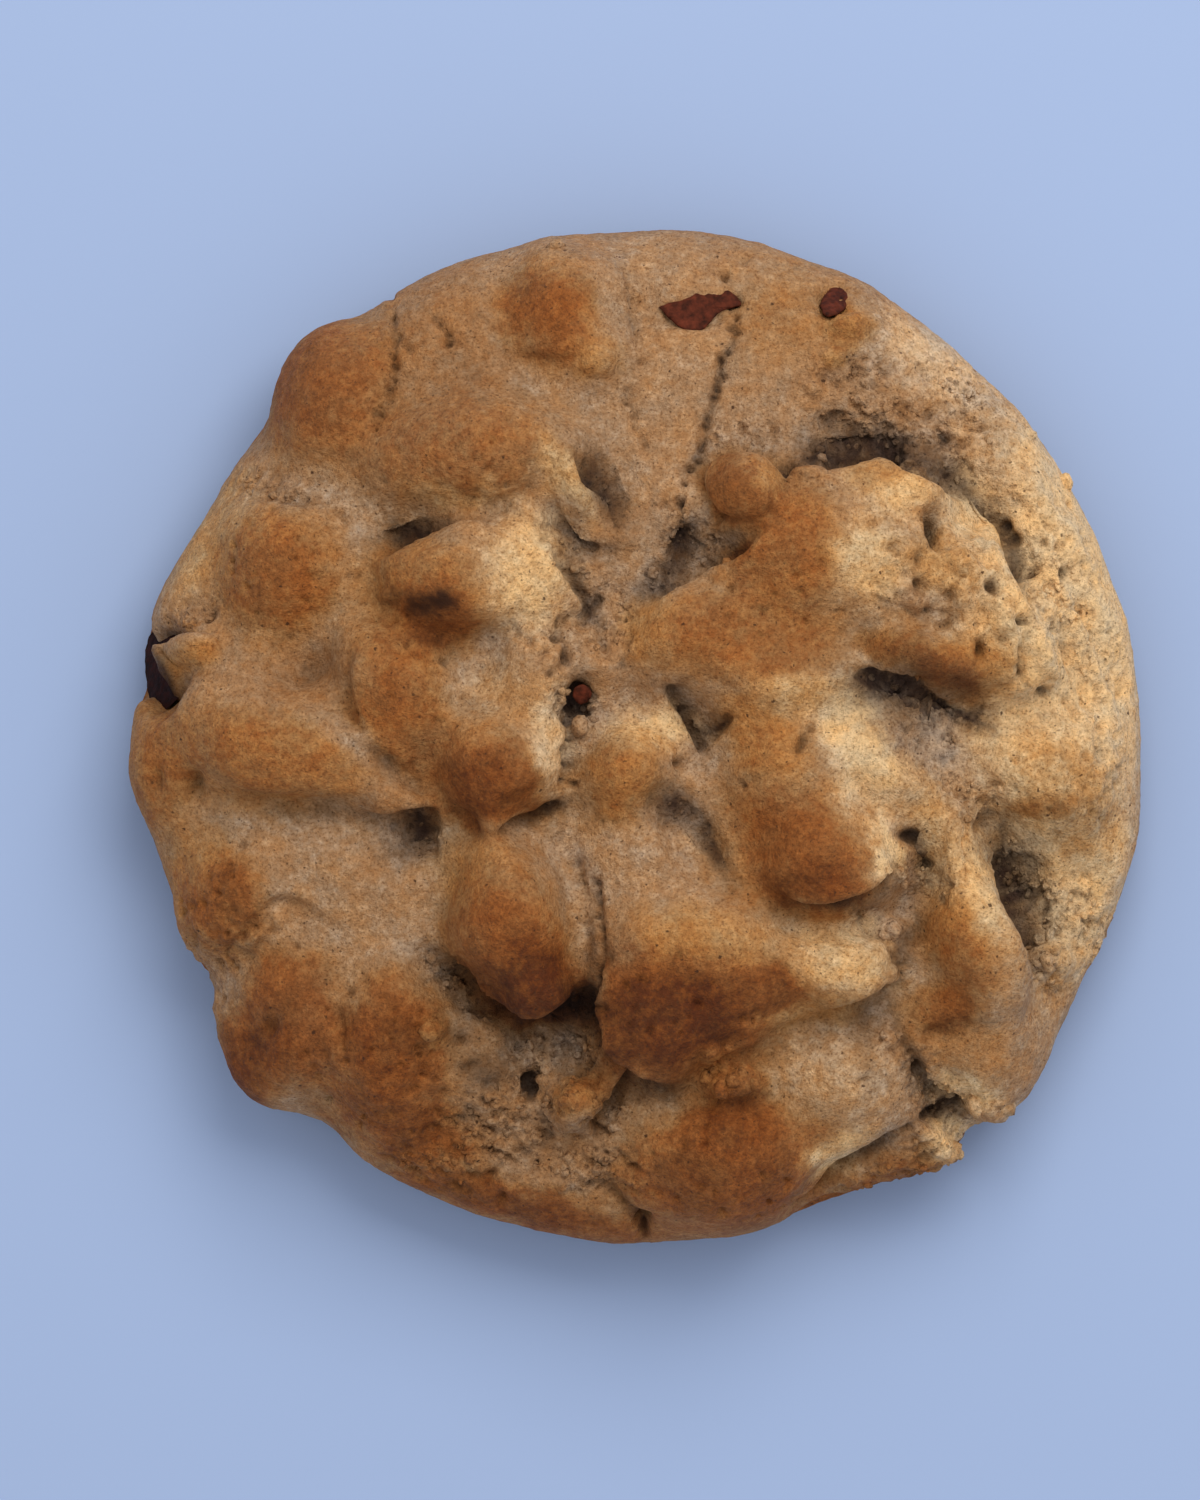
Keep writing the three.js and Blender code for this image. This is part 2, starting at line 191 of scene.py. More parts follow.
# %% [markdown]
# ## Smoothing
# Each vertex moves halfway to the middle of its neighbours, many times. A few rounds take the solid's
# facets away. Many rounds leave only the broad dome, and the difference tells a lump from a valley.
# Blender's smooth modifier moves vertices in the same way, but here the heights and depths are needed
# as numbers too.

# %% Neighbours and smoothing
sides = np.concatenate([faces[:, [0, 1]], faces[:, [1, 2]], faces[:, [2, 0]]])
edges = np.unique(np.sort(sides, axis=1), axis=0)
valence = np.bincount(edges.ravel(), minlength=len(crust))
HALFWAY = 0.5


def smoothed(values, rounds):
    """Values at the vertices, moved towards the mean of their neighbours again and again."""
    values = np.array(values, float)
    columns = values.reshape(len(values), -1)
    first, second = edges.T
    for _ in range(rounds):
        for column in columns.T:
            pulled = np.bincount(first, column[second], len(column))
            pulled += np.bincount(second, column[first], len(column))
            column += HALFWAY * (pulled / valence - column)
    return values


print(len(edges), "edges, up to", valence.max(), "at a vertex")

# %% Normals, then the facets taken away, and lumps told from valleys
def normals_of(points):
    """Outward normals at the vertices."""
    corners = points[faces]
    across = np.cross(corners[:, 1] - corners[:, 0], corners[:, 2] - corners[:, 0])
    total = np.zeros_like(points)
    for corner in range(3):
        for axis in range(3):
            total[:, axis] += np.bincount(faces[:, corner], across[:, axis], len(points))
    return total / np.linalg.norm(total, axis=1, keepdims=True)


def outward_part(moves):
    """How far moves of the vertices go straight out of the crust."""
    return np.einsum("ij,ij->i", moves, outward)


FACET_ROUNDS = 14
SOFT_ROUNDS = 110
DOME_ROUNDS = 450
BASE_HEIGHT = 0.05
on_base = crust[:, 2] < BASE_HEIGHT
smooth_crust = smoothed(crust, FACET_ROUNDS)
smooth_crust[on_base] = crust[on_base]
smooth_crust[:, 2] = np.maximum(smooth_crust[:, 2], 0)
crust = smooth_crust
soft_crust = smoothed(crust, SOFT_ROUNDS)
dome = smoothed(soft_crust, DOME_ROUNDS)
outward = normals_of(crust)
lump_height = outward_part(crust - dome)
print("lumps stand from", lump_height.min().round(1), "to", lump_height.max().round(1), "mm off the dome")

# %% [markdown]
# ## Working along lines and in patches
# A baker's eye reads the crust as lines, where lumps fold against each other, and as patches, where it
# is torn or browned. Sculpting by hand gives the same, but can't be changed by a number. So two helpers
# do it here: one measures how far each vertex is from a curve, one how far it is inside an oval. A
# little noise bends both.

# %% Noise at the vertices, by its size in millimetres
SEED_STEP = Vector((17.3, 5.9, 11.1))


def noise_at(points, size, seed, octaves=1):
    """Noise from about -1 to 1 at each point. Its features are about as large as size, in millimetres."""
    shift = SEED_STEP * seed
    if octaves == 1:
        return np.array([noise.noise(Vector(point) / size + shift) for point in points])
    return np.array([noise.fractal(Vector(point) / size + shift, 1.0, 2.0, octaves) for point in points])


def drift_at(points, size, seeds, octaves):
    """Noise along as many axes as there are seeds, one row for each point."""
    return np.stack([noise_at(points, size, seed, octaves) for seed in seeds], axis=1)


WANDER = 0.35
FOLD_WANDER = 0.1
WANDER_SIZE = 2.4
LOWEST_TILT = -0.3
drift = drift_at(crust, WANDER_SIZE, (1, 2), 2)
ragged = crust[:, :2] + WANDER * drift
gentle = crust[:, :2] + FOLD_WANDER * drift
faces_up = outward[:, 2] > LOWEST_TILT
print("lines wander by up to", (WANDER * np.abs(drift).max()).round(2), "mm")

# %% Distance from a curve through a few pixels
CURVE_STEPS = 6


def curve_through(pixels):
    """Places in plan along a smooth curve (Catmull-Rom) through pixels of the photograph."""
    corners = plan(pixels)
    ends = np.vstack([2 * corners[0] - corners[1], corners, 2 * corners[-1] - corners[-2]])
    t = np.linspace(0, 1, CURVE_STEPS, endpoint=False)[:, None]
    pieces = []
    for before, start, end, after in zip(ends, ends[1:], ends[2:], ends[3:]):
        bend = (2 * before - 5 * start + 4 * end - after) * t**2
        bend += (3 * start - before - 3 * end + after) * t**3
        pieces.append(start + 0.5 * ((end - before) * t + bend))
    return np.vstack(pieces + [corners[-1:]])


def beside_curve(pixels, reach, bent):
    """Vertices near a curve: which, how far to its right, share of the way along, direction to the right."""
    places = curve_through(pixels)
    low, high = places.min(axis=0) - reach, places.max(axis=0) + reach
    near = np.flatnonzero(((bent > low) & (bent < high)).all(axis=1) & faces_up)
    starts, steps = places[:-1], np.diff(places, axis=0)
    offsets = bent[near][:, None] - starts
    t = np.clip((offsets * steps).sum(axis=2) / (steps**2).sum(axis=1), 0, 1)
    offsets -= t[:, :, None] * steps
    gaps = np.linalg.norm(offsets, axis=2)
    nearest = gaps.argmin(axis=1)
    row = np.arange(len(near))
    step = steps[nearest]
    right = np.stack([step[:, 1], -step[:, 0]], axis=1) / np.linalg.norm(step, axis=1, keepdims=True)
    side = np.where((offsets[row, nearest] * right).sum(axis=1) > 0, 1.0, -1.0) * gaps[row, nearest]
    share = (nearest + t[row, nearest]) / len(steps)
    return near, side, share, right


def eased(way):
    """A way from 0 to 1 that starts and ends softly."""
    return way**2 * (3 - 2 * way)


print("a curve has", CURVE_STEPS, "steps from each pixel to the next")

# %% Ovals, and how their strength fades towards the edge
def oval(pixel, half_length, half_width, turn, places=None):
    """How far out each vertex is in an oval in plan: 0 in its middle, 1 at its edge. The turn is from +X."""
    away = (ragged if places is None else places) - plan(pixel)
    angle = math.radians(turn)
    along = away @ (math.cos(angle), math.sin(angle))
    across = away @ (-math.sin(angle), math.cos(angle))
    return np.where(faces_up, np.hypot(along / half_length, across / half_width), np.inf)


def bell(distance):
    """A soft hill: 1 in the middle, fading out past a distance of 1."""
    return np.exp(-(distance**2))


def flat_hill(steepness):
    """A fade that is 1 in the middle of an oval and falls to 0 at its edge. A steep one is wide on top."""
    return lambda distance: np.clip(steepness * (1 - distance), 0, 1)


def strongest(ovals, fade, places=None):
    """The strongest of some ovals at each vertex: pixel, half length, half width, turn, strength."""
    total = np.zeros(len(crust))
    for u, v, half_length, half_width, turn, strength in ovals:
        total = np.maximum(total, strength * fade(oval((u, v), half_length, half_width, turn, places)))
    return total


def over(shade, more):
    """Two shades, one over the other."""
    return 1 - (1 - shade) * (1 - more)


print("vertices that ovals and curves can reach:", faces_up.sum())

# %% [markdown]
# ## Hollows with soft floors
# The solid's hollows are bowls with a rim all round. In the dough only one side is a wall, and the
# floor runs out softly on the other. So the bowls are first blended with the smoothed crust, and the
# lumps, which stand clear, are made a little rounder at the same time by pushing them away from it. A
# smoothing brush would do it by hand, and its strokes would be lost when the solid changes.

# %% Which hollows run out softly: pixel, half length and half width in millimetres, turn, strength
SOFTENED = [
    (598, 494, 8.0, 6.0, -65, 1.0), (570, 536, 4.4, 3.4, -40, 0.8), (612, 560, 4.0, 3.0, 0, 0.7),
    (918, 715, 9.0, 5.4, -28, 1.0), (712, 712, 6.5, 5.0, -50, 1.0), (698, 545, 6.0, 4.2, 30, 0.8),
    (586, 606, 6.0, 4.0, -68, 0.95), (578, 700, 4.6, 3.6, 85, 0.8), (405, 840, 6.4, 4.4, 8, 0.95),
    (462, 990, 7.0, 4.0, -38, 0.6), (531, 1083, 4.2, 3.6, 80, 1.0), (627, 1092, 5.0, 4.2, 46, 0.8),
    (575, 1008, 4.4, 4.4, 0, 0.95), (922, 1085, 7.0, 4.6, -48, 0.8), (870, 1160, 10.0, 4.0, 36, 0.6),
    (1000, 525, 9.0, 4.4, -45, 0.9), (408, 528, 6.0, 3.0, 8, 0.8), (884, 422, 13.0, 7.0, -12, 1.0),
    (1030, 875, 9.0, 4.6, -68, 0.7), (705, 838, 7.5, 3.6, -55, 1.0), (540, 812, 5.4, 3.0, 18, 0.7),
    (300, 818, 12.0, 3.0, -3, 0.8), (980, 838, 6.0, 2.8, 75, 0.9), (917, 838, 5.5, 3.5, 80, 0.8),
    (540, 560, 6.0, 6.4, 0, 0.8),
]
BOWL_REACH = 1.25


def bowl(distance):
    """1 well inside an oval, and nothing from a quarter past its edge."""
    return np.clip(2 * np.clip(BOWL_REACH - distance, 0, 1) / BOWL_REACH, 0, 1)


softness = strongest(SOFTENED, bowl)
print(len(SOFTENED), "hollows, over", round(100 * (softness > 0.5).mean()), "% of the net")

# %% Blend the hollows, and round the lumps
ROUNDER = 0.5
MOST_SUNK = 0.25
MOST_RAISED = 0.9
HIGHER = 0.25
HIGHEST_LUMP = 2.5
away = outward_part(crust - soft_crust)
away_now = np.clip((1 + ROUNDER) * away, away - MOST_SUNK, away + MOST_RAISED) * (1 - softness)
lifted = HIGHER * np.clip(lump_height, -HIGHEST_LUMP, HIGHEST_LUMP) * (1 - softness)
higher = lifted * np.clip(2 * outward[:, 2], 0, 1)
crust = crust + outward * (away_now - away + higher)[:, None]
print("hollows and lumps moved by up to", np.abs(away_now - away).max().round(1), "mm")

# %% [markdown]
# ## A tighter outline
# Between two lumps the side of a cookie falls back a little. The solid bridges some of these places, so
# the side is drawn in there. A lattice would do it by hand. A few bells round the edge say the same
# with three numbers each.

# %% Draw the side in: degrees from +X, then millimetres and how many degrees wide
TIGHTER = [(20, 0.6, 12), (132, 0.8, 6), (158, 0.7, 5), (203, 1.0, 5), (218, 0.8, 5)]
SIDE_START = 40
SIDE_WIDTH = 12
angle = np.degrees(np.arctan2(crust[:, 1], crust[:, 0])) % 360
radius = np.hypot(crust[:, 0], crust[:, 1])
drawn_in = sum(amount * bell((angle - at) / width) for at, amount, width in TIGHTER)
at_side = np.clip((radius - SIDE_START) / SIDE_WIDTH, 0, 1)
crust[:, :2] *= (1 - drawn_in * at_side / np.maximum(radius, 1))[:, None]
print("side drawn in by up to", drawn_in.max().round(1), "mm")

# %% [markdown]
# ## Folds
# Where one lump of dough has swollen over its neighbour, the crust ends in a fold: a wall on the lump's
# side, and a soft slope on the other. Each fold is a curve, walked with the lump on the left. The
# vertices beside it are pushed in, hard on the wall's side and gently on the slope's. The lump's own
# edge is puffed up a little and pulled over the fold, so that the fold is undercut and stays dark, as
# it does where two lumps touch. A crease brush draws one such line at a time. With a list, one profile
# serves them all.

# %% Where the folds are: pixels of the photograph, then depth, wall, slope and overhang in millimetres
FOLDS = {
    "under the lip": ([
        (846, 682), (860, 673), (880, 669), (903, 673), (924, 684), (944, 698), (962, 710), (974, 718),
    ], 1.3, 0.5, 2.4, 0.1),
    "behind the right ridge": ([
        (1034, 968), (1021, 946), (1010, 916), (1003, 895), (998, 870), (995, 840),
    ], 2.4, 0.5, 2.2, 0.0),
    "under the nose": ([
        (436, 948), (460, 968), (480, 989), (500, 1007), (522, 1017), (545, 1017), (561, 1007),
        (571, 994), (578, 980),
    ], 1.8, 0.5, 1.3, 0.2),
    "under the belly": ([
        (590, 985), (597, 1020), (603, 1046), (613, 1066), (628, 1080), (650, 1088), (690, 1085),
    ], 1.8, 0.5, 1.2, 0.2),
    "under the chin": ([
        (490, 842), (505, 830), (518, 819), (535, 813), (550, 806), (574, 800),
    ], 1.5, 0.5, 1.2, 0.2),
    "left of the chin": ([
        (430, 772), (436, 792), (448, 808), (466, 820), (478, 834), (490, 843),
    ], 0.8, 1.0, 1.4, 0.1),
    "left of the cheek": ([
        (366, 634), (351, 654), (346, 676), (348, 702), (354, 722), (364, 741),
    ], 0.9, 1.0, 2.0, 0.1),
    "under the cheek": ([
        (360, 740), (378, 755), (396, 769), (416, 783), (436, 798),
    ], 1.3, 1.0, 1.3, 0.1),
    "over the eye": ([
        (490, 513), (466, 515), (446, 521), (428, 529), (410, 538), (393, 548), (372, 560),
    ], 1.7, 0.5, 1.4, 0.1),
    "under the upper ridge": ([
        (344, 492), (372, 511), (395, 519), (420, 521), (448, 517), (478, 511), (520, 508),
    ], 0.25, 1.0, 1.0, 0.1),
    "right of the eye": ([
        (590, 622), (582, 600), (572, 578), (563, 556), (555, 534),
    ], 1.3, 0.5, 0.9, 0.1),
    "right of the hook": ([
        (630, 534), (611, 527), (600, 517), (593, 497), (587, 471), (577, 437),
    ], 1.9, 0.7, 2.0, 0.0),
    "left of the hook": ([
        (548, 498), (560, 514), (576, 530), (590, 543), (604, 550),
    ], 1.0, 0.8, 1.2, 0.0),
    "pit, left wall": ([
        (708, 756), (698, 743), (689, 729), (680, 711), (671, 697), (664, 682),
    ], 2.0, 0.5, 1.5, 0.2),
    "pit, right wall": ([(731, 715), (721, 730), (710, 747)], 0.9, 0.5, 0.6, 0.1),
    "under the middle bud": ([(636, 806), (664, 792), (690, 793), (708, 808)], 0.9, 1.2, 2.0, 0.0),
    "over the belly": ([
        (686, 800), (699, 820), (709, 839), (719, 857), (732, 880),
    ], 1.0, 1.6, 1.6, 0.0),
    "under the left roll": ([(230, 793), (290, 803), (352, 806)], 0.8, 1.0, 1.5, 0.2),
    "under the roll's end": ([(350, 812), (385, 822), (410, 820), (434, 813)], 1.2, 0.8, 1.5, 0.3),
    "left of the nose bridge": ([(434, 806), (438, 830), (432, 866)], 1.0, 0.7, 1.6, 0.2),
    "under the belly's point": ([
        (750, 1038), (800, 1029), (832, 1015), (862, 1003), (886, 990), (902, 975),
    ], 1.0, 0.8, 2.4, 0.2),
    "round the right nose": ([
        (764, 889), (795, 903), (825, 904), (850, 897), (873, 888), (887, 873), (893, 855),
    ], 1.6, 0.5, 1.2, 0.3),
    "trench": ([
        (972, 506), (952, 491), (930, 475), (905, 459), (880, 452), (852, 458), (826, 466), (790, 472),
    ], 1.8, 0.5, 2.2, 0.1),
    "trench, right": ([
        (1056, 650), (1036, 611), (1025, 588), (1015, 565), (1003, 543), (988, 523), (965, 503),
    ], 1.3, 0.6, 1.5, 0.1),
    "round the knob": ([
        (789, 486), (784, 474), (770, 464), (750, 457), (730, 455), (711, 460), (702, 470), (706, 488),
        (714, 504), (726, 517), (744, 523), (760, 519),
    ], 1.3, 0.4, 0.8, 0.3),
    "under the knob": ([
        (765, 512), (752, 538), (738, 552), (718, 560), (690, 575), (665, 589), (636, 602),
    ], 1.5, 0.5, 1.8, 0.2),
    "left fold": ([
        (200, 942), (222, 950), (240, 938), (252, 922), (264, 911), (278, 903), (296, 904), (318, 917),
        (356, 943),
    ], 0.9, 0.8, 1.8, 0.2),
    "torn seam": ([
        (890, 1012), (905, 1038), (915, 1055), (922, 1070), (932, 1085), (945, 1095), (961, 1102),
        (984, 1108),
    ], 1.6, 0.6, 1.1, 0.3),
    "over the ledge": ([
        (776, 1220), (810, 1195), (830, 1170), (846, 1157), (870, 1145), (887, 1135), (920, 1126),
    ], 1.8, 0.5, 1.4, 0.5),
    "right of the bottom knob": ([
        (594, 1130), (608, 1108), (620, 1090), (636, 1072),
    ], 2.2, 0.6, 0.7, 0.3),
    "slab's edge": ([(346, 1058), (341, 1032), (336, 1000)], 1.0, 0.5, 0.7, 0.2),
    "round the bud on the chunk": ([
        (226, 622), (205, 632), (182, 634), (164, 642), (154, 656), (160, 670), (178, 684), (196, 680),
    ], 1.6, 0.5, 1.2, 0.4),
    "right of the top lump": ([(640, 358), (637, 325), (634, 290), (626, 262)], 0.6, 1.2, 1.6, 0.2),
    "under the top lump": ([(505, 350), (530, 360), (560, 363), (588, 354)], 0.6, 1.0, 1.5, 0.2),
    "slot in the plateau": ([(940, 560), (934, 545), (927, 525), (923, 503)], 1.3, 0.35, 1.0, 0.1),
    "finger": ([(926, 600), (918, 590), (912, 576)], 1.0, 0.35, 0.8, 0.1),
    "second finger": ([(984, 660), (977, 649), (972, 636)], 1.0, 0.3, 0.8, 0.1),
    "third finger": ([(1020, 680), (1018, 660), (1017, 638)], 1.2, 0.3, 0.8, 0.1),
    "step": ([(862, 594), (886, 603), (908, 614), (930, 628)], 0.8, 0.4, 1.0, 0.1),
}
print(len(FOLDS), "folds through", sum(len(pixels) for pixels, *_ in FOLDS.values()), "pixels")

# %% Push the folds in
FOLD_REACH = 4
PUFF = 0.2
PUFF_BACK = 1.3
PUFF_WIDTH = 0.9
LIT_START = 0.5
LIT_REACH = 3.0


def run_out(share):
    """1 along the middle half of a curve, running out softly to nothing at both ends."""
    return eased(np.clip(4 * np.minimum(share, 1 - share), 0, 1))


fold_depth = np.zeros(len(crust))
puffed = np.zeros(len(crust))
lit_edge = np.zeros(len(crust))
pulled_over = np.zeros((len(crust), 3))
for pixels, depth, wall, slope, overhang in FOLDS.values():
    near, side, share, right = beside_curve(pixels, FOLD_REACH * slope, gentle)
    along = run_out(share)
    profile = np.where(side < 0, bell(side / wall), np.exp(-side / slope))
    fold_depth[near] = np.maximum(fold_depth[near], depth * along * profile)
    edge = along * bell((side + PUFF_BACK) / PUFF_WIDTH)
    puffed[near] = np.maximum(puffed[near], PUFF * depth * edge)
    pulled_over[near, :2] += right * (overhang * edge)[:, None]
    lit = along * np.clip(-side / LIT_START, 0, 1) * bell(side / LIT_REACH)
    lit_edge[near] = np.maximum(lit_edge[near], lit)
print("deepest fold", fold_depth.max().round(1), "mm")

# %% [markdown]
# ## Sheltered places
# A fold in real dough goes on far below what a skin without overhangs can follow, and little light
# comes back out of it. So its floor is darkened as well: an oval for each, dark in the middle and
# fading out softly. The edge of the lump beside it stays in the light. Deeper folds would do the same,
# but would tear the net.

# %% Where little light comes out: pixel, half length and half width in millimetres, turn, strength
SHELTERED = [
    (606, 504, 3.6, 2.3, -72, 0.97), (595, 478, 3.0, 1.8, -72, 0.9), (579, 537, 3.5, 1.5, -32, 0.96),
    (578, 578, 4.4, 0.8, -70, 0.7), (593, 612, 2.4, 0.9, -72, 0.6), (430, 641, 3.6, 1.0, -4, 0.35),
    (412, 530, 3.6, 1.5, 14, 0.96), (868, 681, 2.8, 2.3, -5, 0.92), (893, 681, 3.4, 2.2, -12, 0.96),
    (920, 688, 3.4, 1.7, -32, 0.96), (944, 703, 2.8, 1.5, -38, 0.95), (884, 706, 5.0, 3.0, -28, 0.5),
    (908, 728, 6.5, 3.0, -42, 0.25), (867, 1050, 1.0, 3.6, 0, 0.4), (964, 714, 3.0, 1.6, -30, 0.75),
    (974, 716, 2.2, 1.3, -30, 0.75), (960, 690, 3.6, 2.2, -30, 0.35), (686, 722, 3.6, 1.3, -57, 0.85),
    (717, 728, 1.7, 1.0, 45, 0.8), (700, 722, 2.6, 2.0, -50, 0.45), (676, 806, 3.0, 2.2, -8, 0.9),
    (714, 848, 4.0, 1.4, -58, 0.85), (550, 809, 2.8, 0.9, 20, 0.9), (422, 830, 1.7, 2.2, 0, 0.92),
    (405, 845, 2.6, 2.4, 0, 0.4), (464, 976, 5.0, 1.6, -40, 0.6), (574, 1006, 2.6, 2.3, 0, 0.97),
    (552, 1026, 5.6, 2.6, 5, 0.72), (592, 976, 1.6, 2.4, 0, 0.4), (592, 930, 0.7, 5.0, 0, 0.4),
    (606, 1040, 1.2, 4.0, 0, 0.4), (612, 1092, 2.6, 1.0, 50, 0.75), (655, 1088, 3.6, 1.3, -8, 0.7),
    (832, 903, 5.0, 1.2, 4, 0.75), (888, 880, 1.8, 0.8, 60, 0.5), (906, 946, 4.0, 1.2, 78, 0.6),
    (1009, 882, 5.8, 2.2, -72, 0.94), (1032, 905, 6.0, 3.4, -68, 0.42), (1019, 932, 3.0, 1.2, -66, 0.7),
    (1000, 832, 2.6, 0.9, 80, 0.7), (918, 850, 1.7, 3.2, 5, 0.82), (684, 542, 3.2, 1.5, 72, 0.88),
    (728, 554, 2.6, 1.0, 20, 0.45), (732, 538, 2.6, 1.3, 8, 0.6), (786, 468, 1.1, 0.9, 0, 0.6),
    (668, 570, 3.4, 1.4, 40, 0.65), (655, 586, 3.0, 1.0, 25, 0.5), (890, 444, 6.0, 1.5, -12, 0.9),
    (1004, 536, 2.6, 1.0, -58, 0.5), (1022, 570, 2.6, 0.9, -64, 0.5), (1060, 812, 5.0, 1.8, 5, 0.3),
    (950, 474, 3.0, 1.3, -38, 0.8), (838, 441, 5.0, 1.6, 5, 0.6), (852, 450, 4.0, 1.1, 8, 0.9),
    (818, 457, 2.8, 0.9, 12, 0.8), (972, 500, 3.2, 1.0, -42, 0.6), (1010, 545, 3.2, 0.8, -58, 0.5),
    (990, 512, 3.4, 0.9, -48, 0.45), (786, 470, 0.9, 0.7, 0, 0.6), (580, 703, 2.2, 1.6, 80, 0.85),
    (330, 815, 6.0, 1.2, -2, 0.35), (350, 690, 3.0, 0.8, 85, 0.3), (386, 766, 4.0, 0.9, -38, 0.2),
    (926, 1086, 4.0, 0.9, -50, 0.6), (911, 1044, 3.6, 0.7, -58, 0.6), (944, 1108, 2.6, 0.8, 30, 0.7),
    (952, 1110, 2.4, 0.9, -20, 0.6), (860, 1153, 6.0, 0.9, 28, 0.55), (942, 1030, 3.6, 1.4, 8, 0.55),
    (866, 1020, 3.2, 1.4, 45, 0.35), (595, 1112, 2.0, 0.8, 60, 0.4), (540, 1004, 4.6, 1.4, 0, 0.35),
    (916, 640, 1.9, 0.7, 75, 0.4), (450, 1030, 3.0, 1.6, -20, 0.35), (495, 1070, 3.2, 2.0, 10, 0.55),
    (740, 1098, 3.4, 1.0, 5, 0.4),
]
# Painted shade on the underside of the lip, which turns from the light. The lit edge doesn't take it away.
LIP_UNDERSIDE_SHADE = [(922, 668, 5.4, 2.0, -28, 0.55), (955, 684, 4.6, 2.2, -30, 0.55)]
print(len(SHELTERED) + len(LIP_UNDERSIDE_SHADE), "sheltered places")

# %% Paint the shade in, with a little grain, and paint shade under the lip as well
SHADE_GRAIN = 0.9
SHADE_SPREAD = 0.25
SHADE_LIMIT = 1.1
DARKEST = 0.97
KEPT_LIT = 0.9
shelter = np.zeros(len(crust))
for u, v, half_length, half_width, turn, strength in SHELTERED:
    shelter = over(shelter, strength * bell(oval((u, v), half_length, half_width, turn)))
shelter *= np.clip(1 + SHADE_SPREAD * noise_at(crust, SHADE_GRAIN, 15, 2), 0, SHADE_LIMIT)
shelter = np.clip(shelter, 0, DARKEST) * (1 - KEPT_LIT * lit_edge)
shelter = np.maximum(shelter, strongest(LIP_UNDERSIDE_SHADE, bell))
print("sheltered:", round(100 * (shelter > 0.3).mean()), "% of the net")

# %% [markdown]
# ## Cracks and pores
# The drying crust cracks in thin, broken lines, and steam leaves pores. Each crack is a shallow groove
# with a row of deeper pits along it, drawn at random from a seed, so that it breaks up as a real one
# does. A crack texture would run on over the whole crust. The pores that stand out have their own
# places, and many small ones are scattered by the same seeded draw.

# %% Where the cracks are: pixels of the photograph, then depth and half width in millimetres
CRACKS = {
    "far crack": ([
        (727, 268), (729, 290), (735, 320), (734, 342), (725, 356), (721, 375), (714, 397), (710, 417),
        (706, 434), (698, 457), (687, 468), (681, 500), (684, 540),
    ], 1.5, 0.42),
    "shoulder crack": ([
        (392, 298), (393, 322), (397, 345), (394, 362), (392, 385), (381, 408), (370, 430),
    ], 1.2, 0.42),
    "shoulder branch": ([(395, 338), (405, 345), (417, 354)], 0.9, 0.4),
    "short crack": ([(434, 319), (445, 332), (456, 349)], 1.2, 0.38),
    "near the top lump": ([(627, 275), (633, 310), (636, 340), (642, 366)], 0.7, 0.3),
    "in the flat": ([(624, 384), (632, 415), (639, 434), (650, 445)], 0.8, 0.35),
    "chin seam": ([(578, 726), (573, 745), (570, 770), (564, 800)], 1.6, 0.65),
    "nose seam": ([(590, 868), (598, 905), (603, 940), (600, 972), (590, 992)], 1.3, 0.45),
    "nose's edge": ([(566, 838), (578, 870), (583, 905), (584, 935)], 0.8, 0.3),
    "bridge wrinkle": ([(742, 784), (765, 776), (792, 764)], 0.9, 0.5),
    "second wrinkle": ([(796, 754), (803, 742), (808, 728)], 1.0, 0.5),
    "in the belly": ([(592, 818), (615, 822), (640, 826)], 0.6, 0.3),
    "in the ridge": ([(538, 452), (541, 466), (535, 480), (529, 490)], 0.6, 0.32),
    "left flank": ([(330, 508), (346, 520), (350, 528)], 0.7, 0.4),
    "lip crack": ([(1021, 638), (1020, 655), (1016, 676)], 1.2, 0.45),
    "middle crack": ([(629, 628), (624, 650), (620, 668)], 0.9, 0.4),
    "below the right nose": ([
        (848, 913), (868, 922), (886, 937), (900, 957), (904, 975), (894, 992),
    ], 1.1, 0.45),
    "bottom seam": ([(596, 1180), (614, 1194), (630, 1209), (645, 1226)], 1.7, 0.7),
    "bottom crack": ([(606, 1130), (601, 1118), (596, 1138)], 1.0, 0.4),
    "left slope": ([(338, 735), (352, 747), (362, 756)], 0.6, 0.35),
    "left pores": ([(238, 490), (266, 497), (300, 501), (330, 497)], 0.7, 0.7),
    "eye, right": ([(560, 625), (566, 645), (561, 664), (552, 672)], 1.2, 0.55),
    "eye's crown": ([(476, 514), (500, 510), (520, 515), (538, 525), (553, 541)], 0.7, 0.5),
    "under the stain": ([(406, 648), (425, 657), (449, 658)], 0.8, 0.4),
}
print(len(CRACKS), "cracks")

# %% Cut the cracks
PIT_SPACING = 0.75
PIT_SIZE = (0.26, 0.55)
PIT_SHARE = (0.5, 1.1)
PIT_SCATTER = 0.5
GROOVE_SHARE = 0.5
CRACK_REACH = 4
draw = np.random.default_rng(7)
crack_depth = np.zeros(len(crust))
for pixels, depth, half_width in CRACKS.values():
    near, side, share, _ = beside_curve(pixels, CRACK_REACH * half_width, ragged)
    line = curve_through(pixels)
    length = np.linalg.norm(np.diff(line, axis=0), axis=1).sum()
    groove = GROOVE_SHARE * depth * run_out(share) * bell(side / half_width)
    for _ in range(int(length / PIT_SPACING)):
        middle = line[draw.integers(len(line))] + draw.normal(0, PIT_SCATTER * half_width, 2)
        gap = np.linalg.norm(ragged[near] - middle, axis=1)
        pit = depth * draw.uniform(*PIT_SHARE) * bell(gap / draw.uniform(*PIT_SIZE))
        groove = np.maximum(groove, pit)
    crack_depth[near] = np.maximum(crack_depth[near], groove)
print("deepest crack", crack_depth.max().round(1), "mm")

